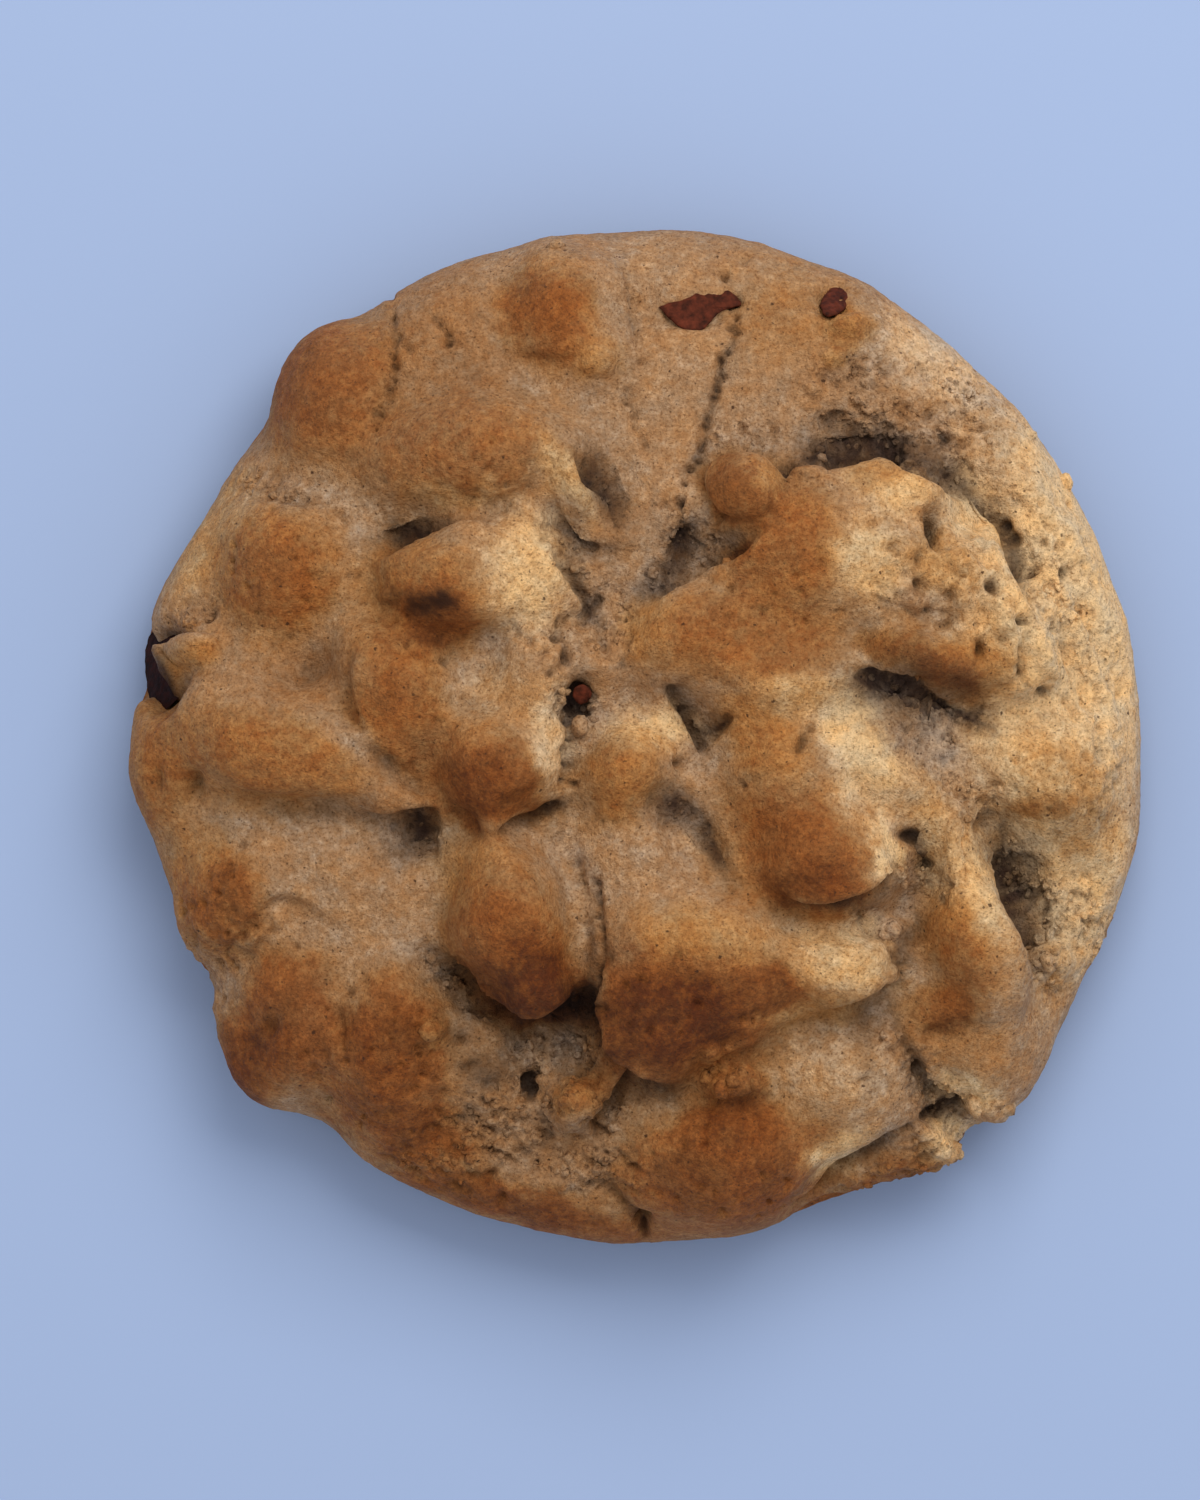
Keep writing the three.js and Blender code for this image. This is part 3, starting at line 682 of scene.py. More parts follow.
# %% Pores that stand out: pixel, half length and half width in millimetres, turn, depth
PORES = [
    (932, 530, 2.0, 0.8, 82, 2.2), (948, 597, 1.0, 0.7, 60, 1.6), (905, 575, 0.9, 0.6, 40, 1.0),
    (942, 625, 1.2, 0.5, 30, 1.0), (870, 525, 1.0, 0.6, 30, 0.7), (880, 590, 1.4, 0.6, -30, 0.8),
    (955, 580, 1.4, 0.5, -50, 1.0), (1000, 640, 0.8, 0.5, 0, 1.0), (422, 836, 2.6, 1.8, 20, 0.9),
    (580, 1000, 1.5, 1.2, 0, 1.4), (888, 547, 0.6, 0.4, 30, 1.4), (917, 560, 1.0, 0.8, 80, 1.4),
    (917, 586, 0.9, 0.7, 60, 1.3), (821, 563, 0.8, 0.4, 80, 0.8), (925, 612, 0.5, 0.4, 40, 1.3),
    (968, 557, 0.4, 0.3, 0, 1.3), (990, 588, 0.9, 0.8, 60, 3.0), (1021, 622, 0.8, 0.4, 0, 2.4),
    (977, 652, 1.3, 0.6, 75, 1.6), (1016, 677, 0.4, 0.4, 0, 1.8), (1045, 694, 0.5, 0.4, 20, 1.6),
    (1056, 678, 0.6, 0.3, 60, 1.1), (1065, 701, 0.6, 0.4, 20, 1.3), (1005, 527, 0.9, 0.6, -40, 1.8),
    (1014, 539, 0.8, 0.6, -40, 1.8), (1023, 562, 0.9, 0.7, -60, 2.0), (1039, 565, 0.7, 0.5, 0, 2.0),
    (1068, 573, 0.8, 0.6, 30, 2.1), (1046, 541, 0.4, 0.4, 0, 1.4), (1062, 546, 0.3, 0.6, 0, 1.3),
    (680, 761, 0.6, 0.5, 60, 1.8), (800, 745, 0.9, 0.5, 60, 1.0), (908, 835, 1.3, 0.9, 20, 2.2),
    (923, 862, 0.9, 0.8, 0, 1.9), (968, 857, 0.8, 0.5, 30, 1.2), (985, 820, 1.4, 0.7, 75, 1.4),
    (990, 786, 1.0, 0.6, 10, 1.1), (582, 1000, 1.5, 1.0, 80, 2.0), (533, 1082, 1.8, 0.7, 80, 3.2),
    (643, 1222, 1.0, 0.8, 60, 2.0), (308, 668, 1.6, 1.2, 50, 1.0), (579, 702, 2.2, 1.0, 82, 2.4),
    (578, 727, 1.0, 0.9, 0, 1.2), (684, 543, 1.8, 1.2, 80, 1.5), (690, 465, 0.7, 0.4, 10, 1.2),
    (680, 500, 0.6, 0.4, 70, 1.2), (833, 423, 1.1, 0.7, 20, 1.4), (891, 443, 1.0, 0.6, -30, 1.6),
    (945, 440, 0.8, 1.0, 0, 1.6), (981, 426, 0.9, 0.5, 10, 1.1), (930, 415, 0.7, 0.5, 70, 1.0),
    (855, 371, 0.5, 1.1, 0, 1.2), (823, 375, 0.5, 0.8, 0, 0.8), (745, 262, 0.6, 0.4, 30, 0.8),
    (790, 463, 0.7, 1.0, 0, 1.8), (560, 633, 0.6, 0.9, -15, 1.4), (585, 618, 0.7, 1.2, -20, 1.5),
    (197, 785, 0.8, 1.7, 0, 1.1), (158, 778, 0.8, 1.5, 0, 1.0), (255, 655, 0.5, 0.7, 0, 0.8),
    (230, 868, 0.7, 0.5, 0, 0.6), (296, 944, 0.35, 0.35, 0, 0.9), (270, 1030, 1.2, 0.7, 60, 1.0),
    (395, 1008, 0.5, 0.5, 0, 0.6), (1100, 755, 1.0, 1.2, 0, 1.1), (955, 445, 0.6, 0.6, 0, 1.0),
    (463, 1040, 0.8, 0.6, 30, 0.9), (492, 1085, 1.6, 0.8, 20, 1.2), (470, 1065, 2.0, 0.5, 12, 1.2),
    (603, 1128, 0.6, 0.5, 60, 1.2), (604, 1151, 0.35, 0.35, 0, 0.9), (536, 1162, 0.3, 0.5, 0, 1.0),
    (492, 1172, 0.9, 0.4, 45, 1.1), (503, 1196, 0.5, 0.5, 0, 0.9), (935, 1110, 1.0, 0.6, 40, 2.0),
    (952, 1106, 0.5, 0.5, 0, 1.5), (922, 1072, 0.6, 0.4, 50, 1.5), (905, 1128, 0.7, 0.4, 10, 1.2),
    (1075, 895, 0.5, 0.5, 0, 1.0), (1087, 920, 0.7, 0.6, 0, 1.1), (1085, 880, 0.4, 0.4, 0, 0.9),
    (1060, 935, 0.6, 0.5, 0, 1.0), (862, 1078, 0.7, 0.4, 20, 0.9), (1028, 935, 0.8, 0.6, 0, 1.2),
    (425, 607, 2.2, 0.9, 5, 0.4), (160, 682, 3.6, 1.7, 70, 2.2), (158, 640, 2.0, 1.0, 60, 1.5),
    (563, 621, 0.8, 0.5, 40, 1.5), (555, 636, 0.6, 0.7, 0, 1.6), (573, 619, 0.5, 0.5, 0, 1.4),
    (567, 655, 1.2, 0.6, 75, 1.8), (597, 604, 1.0, 0.5, 60, 1.5), (590, 640, 0.4, 0.3, 0, 1.0),
    (545, 652, 0.9, 0.3, 30, 0.9), (1035, 600, 0.8, 0.4, -60, 1.2), (1085, 610, 0.7, 0.3, -65, 1.0),
    (1070, 655, 0.9, 0.3, -65, 1.2), (1098, 690, 0.8, 0.4, -75, 1.0),
]
pore_depth = strongest(PORES, bell)
print(len(PORES), "pores that stand out, the deepest", pore_depth.max().round(1), "mm")

# %% Small pores, scattered in ovals: pixel, half length and half width in millimetres, turn, how many
SCATTERED = [
    (205, 950, 5, 13, -25, 60), (935, 560, 9, 6, -45, 60), (1075, 650, 5, 18, 8, 90),
    (300, 570, 8, 8, 0, 25), (420, 690, 8, 10, 0, 30), (385, 1050, 9, 9, 0, 50),
    (710, 1165, 11, 7, 0, 20), (780, 560, 9, 9, 0, 30), (460, 450, 12, 6, 0, 30),
    (690, 990, 12, 6, 0, 25), (900, 370, 9, 6, -20, 40), (1060, 790, 6, 6, 0, 25),
]
SMALL_PORE_DEPTH = (0.3, 0.9)
SMALL_PORE_RADIUS = (0.2, 0.45)
for u, v, half_length, half_width, turn, count in SCATTERED:
    heading = math.radians(turn)
    ahead = np.array([math.cos(heading), math.sin(heading)])
    beside = np.array([-ahead[1], ahead[0]])
    for _ in range(count):
        out, around = math.sqrt(draw.random()), draw.uniform(0, 2 * math.pi)
        offset = half_length * math.cos(around) * ahead + half_width * math.sin(around) * beside
        middle = plan((u, v)) + out * offset
        gap = np.where(faces_up, np.linalg.norm(ragged - middle, axis=1), np.inf)
        small_pore = draw.uniform(*SMALL_PORE_DEPTH) * bell(gap / draw.uniform(*SMALL_PORE_RADIUS))
        pore_depth = np.maximum(pore_depth, small_pore)
print(sum(count for *_, count in SCATTERED), "small pores")

# %% [markdown]
# ## Swells and soft hollows
# Between the large lumps, which are in the solid, the dough has lower swells: fingers at the edge of a
# tear, the flank of a lump, a dip. A sculpting brush is a soft bell as well, and here each stroke has a
# name and a height.

# %% Swells and soft hollows: pixel, height, half length and half width in millimetres, turn
SWELLS = {
    "hook": ((573, 482), 1.1, 5.8, 1.8, -70),
    "hook's end": ((618, 536), 0.8, 3.2, 1.4, -15),
    "chip's hole": ((580, 708), -0.8, 2.0, 1.6, 80),
    "cave": ((562, 1028), -1.3, 4.4, 2.6, 10),
    "left of the cave": ((492, 1008), -0.6, 3.6, 1.4, -40),
    "right of the belly": ((903, 955), -0.8, 3.8, 1.6, 75),
    "below the belly's point": ((868, 1030), -0.8, 3.6, 1.8, 60),
    "ridge's foot": ((945, 1032), -0.8, 3.0, 1.4, 10),
    "left of the bottom lump": ((602, 1112), -0.8, 3.0, 1.4, 55),
    "under the eye": ((432, 662), -0.6, 4.4, 1.5, -12),
    "left dip": ((292, 660), -0.6, 4.2, 3.0, 20),
    "right nose, top": ((838, 768), 1.6, 4.6, 3.4, 70),
    "right nose's flank": ((898, 772), -0.9, 3.6, 2.6, 70),
    "lip's floor": ((912, 709), 2.4, 6.0, 4.0, -28),
    "groove by the ridge": ((915, 832), 1.4, 4.6, 2.4, 80),
    "lip's edge": ((893, 660), 0.7, 4.6, 1.3, -12),
    "nose's right flank": ((551, 998), 2.0, 2.2, 1.5, 60),
    "belly's left flank": ((603, 1008), 1.3, 3.2, 1.4, 85),
    "bottom knob": ((580, 1096), 0.6, 2.6, 2.0, 40),
    "nose tip": ((512, 1003), 0.4, 3.4, 1.5, -25),
    "rim ridge": ((1078, 625), 0.9, 9.0, 0.9, -68),
    "first finger": ((905, 545), 0.9, 2.6, 1.2, -62),
    "second finger": ((962, 590), 1.1, 3.0, 1.2, -68),
    "third finger": ((1000, 610), 1.1, 3.4, 1.2, -64),
    "fourth finger": ((985, 548), 1.0, 2.8, 1.2, -55),
    "fifth finger": ((1040, 655), 1.0, 4.0, 1.2, -70),
    "between fingers": ((980, 612), -0.9, 3.4, 0.8, -66),
    "behind the fingers": ((1022, 640), -0.8, 4.0, 0.8, -68),
    "rim groove": ((1054, 622), -0.9, 9.0, 0.9, -66),
    "second rim groove": ((1100, 640), -0.6, 8.0, 0.8, -72),
}
swell = np.zeros(len(crust))
for pixel, height, half_length, half_width, turn in SWELLS.values():
    swell += height * bell(oval(pixel, half_length, half_width, turn))
print(len(SWELLS), "swells and hollows, from", swell.min().round(1), "to", swell.max().round(1), "mm")

# %% [markdown]
# ## Buds
# Small knobs of dough stand on the crust. Each is a swelling with its own outline, steep at the edge
# like a bead. A separate ball would show a seam where it meets the crust, so the crust itself is
# raised.

# %% Buds: pixel, half length and half width in millimetres, turn, height, and how round its edge is
BUDS = {
    "knob": ((743, 487), 4.6, 3.5, -12, 1.0, 0.5),
    "crumb on the crest": ((820, 456), 1.1, 0.6, 80, 1.3, 0.5),
    "crumbs by the knob": ((806, 474), 2.2, 0.8, 10, 0.9, 0.6),
    "flap": ((893, 925), 1.9, 1.0, 10, 1.2, 0.6),
    "lower flap": ((895, 974), 1.7, 1.1, 60, 0.9, 0.7),
    "pale crumb": ((581, 725), 0.9, 0.8, 0, 1.3, 0.5),
    "orange crumb": ((432, 1030), 1.9, 1.2, 20, 0.9, 0.6),
    "crumb cluster, left": ((712, 1053), 1.6, 1.1, 60, 1.0, 0.6),
    "crumb cluster, foot": ((722, 1085), 3.2, 1.4, 5, 1.0, 0.6),
    "crumb cluster, right": ((745, 1076), 1.8, 1.7, 0, 1.2, 0.6),
    "crumb cluster, top": ((738, 1045), 2.4, 0.9, 25, 0.8, 0.7),
    "nub under the top lump": ((598, 362), 2.2, 2.0, 0, 0.9, 0.8),
    "bud by the chip": ((848, 328), 2.2, 1.3, 0, 1.3, 0.7),
    "bud below the chip": ((832, 357), 1.5, 1.3, 0, 1.1, 0.7),
    "pale bud": ((812, 388), 1.5, 1.1, -20, 1.0, 0.8),
    "stain's nub": ((389, 598), 1.3, 0.9, 10, 0.7, 0.6),
    "lip bulge": ((888, 640), 2.6, 2.0, 0, 0.7, 0.8),
    "lip edge": ((893, 607), 2.8, 0.5, -38, 0.5, 0.8),
    "bottom crumb": ((565, 1184), 0.9, 0.5, 50, 0.7, 0.6),
    "left nub": ((308, 716), 1.4, 0.9, -10, 0.6, 0.8),
    "fold nub": ((281, 922), 0.9, 1.2, 0, 0.7, 0.7),
    "fold bud": ((255, 938), 1.5, 0.9, 15, 0.7, 0.7),
    "flake": ((452, 689), 1.5, 0.7, -15, 0.3, 0.7),
    "left crust nub": ((318, 566), 1.3, 0.9, 0, 0.5, 0.7),
    "ridge crumbs": ((1045, 962), 1.6, 1.3, 30, 0.9, 0.7),
    "torn tip": ((985, 1105), 2.4, 1.0, -15, 1.0, 0.6),
    "bud on the chunk": ((186, 656), 3.9, 2.0, 22, 1.3, 0.6),
    "ledge crumbs": ((935, 1140), 2.8, 1.4, -35, 1.0, 0.7),
}
bud_height = np.zeros(len(crust))
for pixel, half_length, half_width, turn, height, roundness in BUDS.values():
    inside = np.clip(1 - oval(pixel, half_length, half_width, turn) ** 2, 0, 1)
    bud_height = np.maximum(bud_height, height * inside**roundness)
print(len(BUDS), "buds, the highest", bud_height.max().round(1), "mm")

# %% [markdown]
# ## Torn crumb
# Where the dough has torn there is no crust, only rough crumb: a froth of burst bubbles. Soft ovals say
# where. There a cell pattern (Voronoi) sinks a small pit into the middle of each cell, and noise
# roughens the rest. Along the rim the bubbles are drawn out, so the pattern is stretched round the
# cookie. Bubbles in the material alone would look flat at the edge, where the crumb is seen from the
# side.

# %% Where the crumb is torn: pixel, half length and half width in millimetres, turn, strength
TORN = [
    (905, 432, 15, 4.5, -16, 1.0), (1005, 500, 11, 4, -48, 0.6), (1070, 600, 17, 5.5, -70, 0.65),
    (665, 574, 4, 2.6, 40, 0.8), (870, 385, 9, 5, -20, 0.7), (960, 400, 8, 4, -40, 0.8),
    (1070, 915, 6, 8, 70, 0.75), (1040, 960, 6, 3, -60, 0.9), (555, 1060, 8, 6, 0, 0.9),
    (510, 1120, 13, 7, 25, 1.0), (590, 1165, 10, 4, -10, 0.9), (440, 1165, 8, 3, -20, 0.7),
    (940, 1095, 6, 3.4, -45, 1.0), (935, 1150, 7, 3.2, 30, 1.0), (870, 1180, 8, 2.4, 25, 0.7),
    (600, 615, 6, 5, 70, 0.9), (690, 535, 4, 7, 50, 0.9), (578, 705, 2.6, 5, 85, 0.8),
    (925, 740, 8, 5, -35, 0.7), (965, 790, 6, 4, -40, 0.8), (920, 880, 3, 8, 75, 0.7),
    (415, 840, 5, 3, 0, 0.7), (195, 615, 4, 1.8, 20, 0.8), (465, 985, 7, 3, -40, 1.0),
    (280, 490, 9, 2.4, -8, 0.6), (540, 640, 5, 3, -30, 0.6), (1085, 730, 5, 9, 0, 0.4),
    (870, 918, 5, 2, -25, 0.9), (600, 1110, 3, 4, 50, 0.9), (390, 360, 1.6, 9, 5, 0.4),
    (575, 560, 2, 6, 40, 0.8), (740, 440, 7, 3, 0, 0.7), (900, 1040, 3, 6, 60, 0.7),
    (930, 565, 9, 7, -35, 0.3), (1040, 690, 7, 5, 0, 0.35), (905, 690, 7, 3.4, -25, 0.6),
    (1030, 890, 9, 3.6, -68, 0.8), (725, 1070, 4.4, 3.4, 10, 0.55), (240, 930, 6, 5, 30, 0.35),
    (200, 1000, 4, 10, -25, 0.4),
]
TORN_STEEPNESS = 1.7
TORN_IN_SHELTER = 0.7
RAG_SIZE = 2.0
RAG_MEAN = 0.85
RAG_SPREAD = 0.9
torn = np.maximum(strongest(TORN, flat_hill(TORN_STEEPNESS)), TORN_IN_SHELTER * shelter)
torn *= np.clip(RAG_MEAN + RAG_SPREAD * noise_at(crust, RAG_SIZE, 4, 2), 0, 1)
print("torn crumb covers", round(100 * (torn > 0.3).mean()), "% of the net")

# %% Bubbles, drawn out along the rim
BUBBLE = 1.5
BUBBLE_WOBBLE = 0.6
RIM_STRETCH = 2.2
RIM_START = 42.0


def bubble_pattern(points, size):
    """0 in the middle of each bubble, rising towards the walls between bubbles."""
    radius = np.hypot(points[:, 0], points[:, 1])
    angle = np.arctan2(points[:, 1], points[:, 0])
    unrolled = np.stack([radius, angle * RIM_START / RIM_STRETCH, points[:, 2]], axis=1)
    patterned = np.where((radius > RIM_START)[:, None], unrolled, points)
    return np.array([noise.voronoi(Vector(place) / size)[0][0] for place in patterned])


wobble = np.column_stack([drift, drift[:, 0]])
bubbles = bubble_pattern(crust + BUBBLE_WOBBLE * wobble, BUBBLE)
print("mean distance from a bubble's middle:", (BUBBLE * bubbles.mean()).round(2), "mm")

# %% Roughen the crumb, and cobble the crust near it: pixel, half length, half width, turn, strength
COBBLED = [
    (958, 578, 11, 6.5, -50, 1.0), (1050, 650, 6, 11, 15, 0.6), (235, 935, 6, 9, -20, 0.7),
    (848, 345, 8, 5, -15, 0.6), (1050, 780, 6, 6, 0, 0.5), (395, 1060, 9, 8, 0, 0.5),
    (600, 640, 4, 6, 20, 0.6), (728, 1067, 4.4, 3.2, 10, 1.0), (1068, 915, 5, 7, 20, 0.5),
]
COBBLE_STEEPNESS = 1.5
COARSE_SIZE = 2.6
FINE_SIZE = 0.9
PIT_REACH = 0.5
CRUMB_COARSE = 0.7
CRUMB_FINE = 0.45
CRUMB_PIT = 1.5
CRUST_COARSE = 0.10
CRUST_COBBLE = 0.7
CRUST_FINE = 0.07
coarse = noise_at(crust, COARSE_SIZE, 5, 3)
fine = noise_at(crust, FINE_SIZE, 6, 2)
pitted = torn * np.clip(1 - bubbles / PIT_REACH, 0, 1)
crumb_relief = torn * (CRUMB_COARSE * coarse + CRUMB_FINE * fine) - CRUMB_PIT * pitted
cobbled = strongest(COBBLED, flat_hill(COBBLE_STEEPNESS))
crust_relief = (1 - torn) * ((CRUST_COARSE + CRUST_COBBLE * cobbled) * coarse + CRUST_FINE * fine)
print("crumb relief from", crumb_relief.min().round(2), "to", crumb_relief.max().round(2), "mm")

# %% [markdown]
# ## Beds for the chocolate, and the push
# Each piece of chocolate lies a little below the crust round it, so the crust is sunk under it. A
# boolean cut would leave a hard rim. Then everything measured so far is added up, and each vertex is
# pushed straight out of the crust or into it. The edges of folds are pulled a little sideways as well.
# The underside stays flat on the table.

# %% Beds: pixel, half length and half width in millimetres, turn, depth
CHOCOLATE_BEDS = [(700, 310, 5.4, 2.4, 12, 0.9), (834, 302, 2.0, 2.0, 0, 1.2), (163, 677, 5.2, 2.6, 75, 2.8)]
BED_STEEPNESS = 3
BED_ROUNDS = 10
bed_depth = strongest(CHOCOLATE_BEDS, flat_hill(BED_STEEPNESS))
bed_depth = np.maximum(bed_depth, smoothed(bed_depth, BED_ROUNDS))
print(len(CHOCOLATE_BEDS), "beds, the deepest", bed_depth.max().round(1), "mm")

# %% Push the crust in and out
BUD_CLEAR = 0.6
clear_of_buds = np.clip(1 - bud_height / BUD_CLEAR, 0, 1)
sunk = fold_depth + crack_depth + (pore_depth + bed_depth) * clear_of_buds
relief = puffed + bud_height + crumb_relief + crust_relief + swell - sunk
relief[on_base] = 0
crust = crust + outward * relief[:, None] + pulled_over
crust[:, 2] = np.maximum(crust[:, 2], 0)
print("relief from", relief.min().round(1), "to", relief.max().round(1), "mm")

# %% [markdown]
# ## Browning
# An oven browns first what stands out and dries. Each lump has its own brown patch with a soft edge,
# laid over the last one, and the low places between them stay cream. Folds and tears opened late, so
# they are paler still. A few patches under the nose and the lip are darker as painted shade, where the
# crust turns from the light. Painting this by hand on the mesh would do as well, but here each patch has
# a name and a number.

# %% How brown each patch is: pixel, half length and half width in millimetres, turn, 0 cream to 1 dark brown
GROUND = 0.28
PATCHES = {
    "upper left slope": ((450, 345), 9.0, 8.0, 0, 0.42),
    "below the right nose": ((830, 926), 7.4, 2.6, -12, 0.0),
    "top shoulder": ((790, 310), 8.0, 6.0, 0, 0.42),
    "right side": ((1040, 690), 10.0, 34.0, 4, 0.08),
    "right rim": ((1085, 600), 6.5, 21.0, 12, 0.0),
    "far right": ((945, 370), 9.0, 5.0, -40, 0.06),
    "right lower rim": ((1085, 890), 5.0, 10.0, -10, 0.04),
    "right shelf": ((1056, 776), 6.0, 4.6, 0, 0.26),
    "left rim, upper": ((205, 535), 5.0, 8.0, -30, 0.28),
    "left rim": ((160, 765), 4.5, 8.5, -5, 0.56),
    "left flank": ((190, 880), 5.0, 7.0, -25, 0.48),
    "bottom right slab": ((820, 1075), 9.0, 6.4, 0, 0.2),
    "lobe": ((960, 1046), 7.0, 3.4, -20, 0.4),
    "lobe's end": ((962, 1092), 5.0, 2.6, -20, 0.1),
    "bottom crumb": ((540, 1115), 11.0, 8.0, 10, 0.32),
    "left shoulder": ((325, 388), 8.0, 9.0, -10, 0.68),
    "top lump": ((552, 312), 5.4, 5.8, 60, 0.72),
    "right of the top lump": ((612, 300), 2.6, 5.0, 0, 0.26),
    "nub": ((598, 362), 2.6, 2.4, 0, 0.45),
    "upper ridge": ((455, 455), 13.0, 6.4, 2, 0.55),
    "hook": ((574, 480), 2.4, 6.0, 30, 0.2),
    "left crust": ((280, 580), 7.0, 7.8, 10, 0.66),
    "eye": ((416, 594), 7.0, 7.6, 0, 0.58),
    "under the stain": ((440, 618), 5.0, 4.0, 0, 0.8),
    "eye, right": ((530, 575), 5.6, 7.6, 0, 0.12),
    "cheek": ((392, 706), 6.4, 8.6, 20, 0.66),
    "cheek's right": ((510, 700), 6.0, 4.4, 0, 0.26),
    "chin": ((488, 790), 7.6, 6.2, -40, 0.82),
    "chin's right": ((553, 740), 2.6, 7.0, 0, 0.06),
    "left roll": ((268, 757), 12.0, 5.4, -8, 0.6),
    "left dip": ((305, 680), 6.4, 3.8, 10, 0.42),
    "roll's end": ((385, 803), 5.0, 2.2, -5, 0.4),
    "valley by the cheek": ((365, 748), 7.5, 2.0, -38, 0.28),
    "strip by the chin": ((455, 838), 3.4, 1.6, -30, 0.3),
    "fold lump": ((226, 908), 5.0, 5.0, 0, 0.74),
    "lower left bud": ((284, 980), 4.8, 4.0, 30, 0.68),
    "lower left slab": ((308, 1040), 4.4, 5.8, -10, 0.7),
    "lower left": ((392, 1050), 6.8, 8.4, 0, 0.82),
    "lower left foot": ((400, 1125), 9.0, 3.4, -20, 0.8),
    "lower left rim": ((250, 1060), 4.4, 7.4, -20, 0.84),
    "nose, upper left": ((466, 884), 4.2, 4.8, 0, 0.5),
    "nose": ((508, 942), 6.8, 7.2, 0, 0.76),
    "nose bridge": ((522, 832), 4.0, 2.0, 0, 0.32),
    "nose's right": ((589, 905), 1.1, 6.0, 6, 0.25),
    "nose tip": ((533, 988), 6.8, 4.6, -10, 0.98),
    # Painted shade: the underside of the nose turns from the light, so its dark brown crust is darker still.
    "nose's underside": ((540, 1003), 5.0, 1.6, 8, 1.0),
    "belly, upper": ((670, 870), 8.0, 5.0, -20, 0.24),
    "belly, middle": ((700, 945), 11.0, 4.4, -4, 0.36),
    "belly's left": ((616, 960), 3.0, 5.5, 0, 0.5),
    "belly, lower": ((676, 1020), 12.6, 7.6, 5, 0.98),
    "belly, lower right": ((768, 992), 5.0, 3.4, 20, 0.8),
    "belly's point": ((845, 955), 6.4, 4.4, -20, 0.16),
    "point's underside": ((810, 1010), 7.0, 1.8, 12, 0.45),
    "bottom lump": ((724, 1170), 12.0, 8.0, 8, 0.78),
    "bottom lump's top": ((735, 1114), 6.0, 4.0, 0, 0.84),
    "right nose": ((794, 850), 9.4, 7.2, -25, 0.7),
    "right nose, low": ((806, 884), 6.4, 3.0, 5, 0.84),
    "bridge": ((762, 740), 4.8, 6.0, 30, 0.5),
    "right nose, cream": ((864, 744), 5.4, 9.0, 25, 0.0),
    "plateau": ((780, 548), 7.4, 7.8, 20, 0.66),
    "arm's edge": ((650, 628), 3.6, 4.4, 60, 0.36),
    "plateau arm": ((702, 632), 6.4, 4.6, 25, 0.58),
    "plateau, low": ((768, 640), 9.0, 4.6, 10, 0.62),
    "plateau, middle": ((872, 560), 4.6, 5.6, 0, 0.12),
    "crest": ((890, 487), 6.4, 3.0, -20, 0.14),
    "plateau, right": ((940, 565), 3.4, 5.0, 30, 0.26),
    "far end": ((985, 525), 3.4, 7.5, 40, 0.08),
    "lip": ((962, 658), 6.0, 3.2, -5, 0.52),
    "lip bulge": ((890, 640), 3.0, 2.4, 0, 0.56),
    # Painted shade: the underside of the lip turns from the light, so it is darker than its browning.
    "lip's underside": ((905, 658), 5.4, 1.6, -15, 0.66),
    "lip's right underside, painted shade": ((948, 680), 4.4, 1.8, -30, 0.66),
    "knob": ((738, 489), 4.6, 3.8, 0, 0.74),
    "knob's right": ((772, 478), 1.6, 2.0, 0, 0.4),
    "right ridge": ((955, 930), 4.0, 9.0, 10, 0.6),
    "ridge's crest": ((984, 885), 2.8, 7.5, 12, 0.1),
    "before the ridge": ((938, 850), 3.0, 8.0, 12, 0.2),
    "ridge foot": ((944, 1002), 4.8, 3.0, 10, 0.68),
    "shelf's foot": ((1048, 806), 4.6, 1.6, 0, 0.5),
    "crest's left": ((868, 478), 3.2, 2.2, 0, 0.4),
    "left of the knob": ((692, 500), 2.0, 3.0, 0, 0.2),
    "under the knob": ((726, 541), 3.0, 1.7, 12, 0.2),
    "seam": ((599, 965), 1.4, 4.8, -5, 0.45),
    "middle": ((655, 728), 6.0, 3.0, 0, 0.14),
    "under the plateau": ((795, 692), 6.0, 2.4, 0, 0.2),
    "right nose's rim": ((884, 848), 1.6, 4.4, 10, 0.0),
    "slope under the lip": ((920, 738), 5.6, 2.8, -38, 0.1),
    "ridge's pale foot": ((465, 492), 6.4, 1.5, 0, 0.32),
    "middle bud": ((616, 782), 5.4, 4.4, 40, 0.54),
    "cave floor": ((562, 1046), 5.0, 2.6, 0, 0.26),
    "orange crumb": ((432, 1030), 2.0, 1.5, 20, 0.55),
    "bottom rim": ((520, 1205), 16.0, 3.0, -14, 0.8),
    "ledge": ((885, 1182), 11.0, 2.6, 25, 0.6),
    "slab's lower edge": ((838, 1152), 4.4, 2.0, 28, 0.12),
    "ledge crumbs": ((950, 1138), 3.4, 3.0, 40, 0.0),
    "right rim, low": ((1085, 830), 4.0, 4.0, 0, 0.25),
    "by the chip": ((846, 332), 2.8, 1.8, 0, 0.5),
    "below the chip": ((832, 357), 1.7, 1.5, 0, 0.4),
    "crumb cluster": ((730, 1072), 4.4, 3.4, 0, 0.62),
    "bottom knob": ((578, 1100), 3.6, 2.8, 30, 0.58),
    "bud on the chunk": ((188, 654), 3.8, 2.0, 20, 0.45),
}
print(len(PATCHES), "patches")

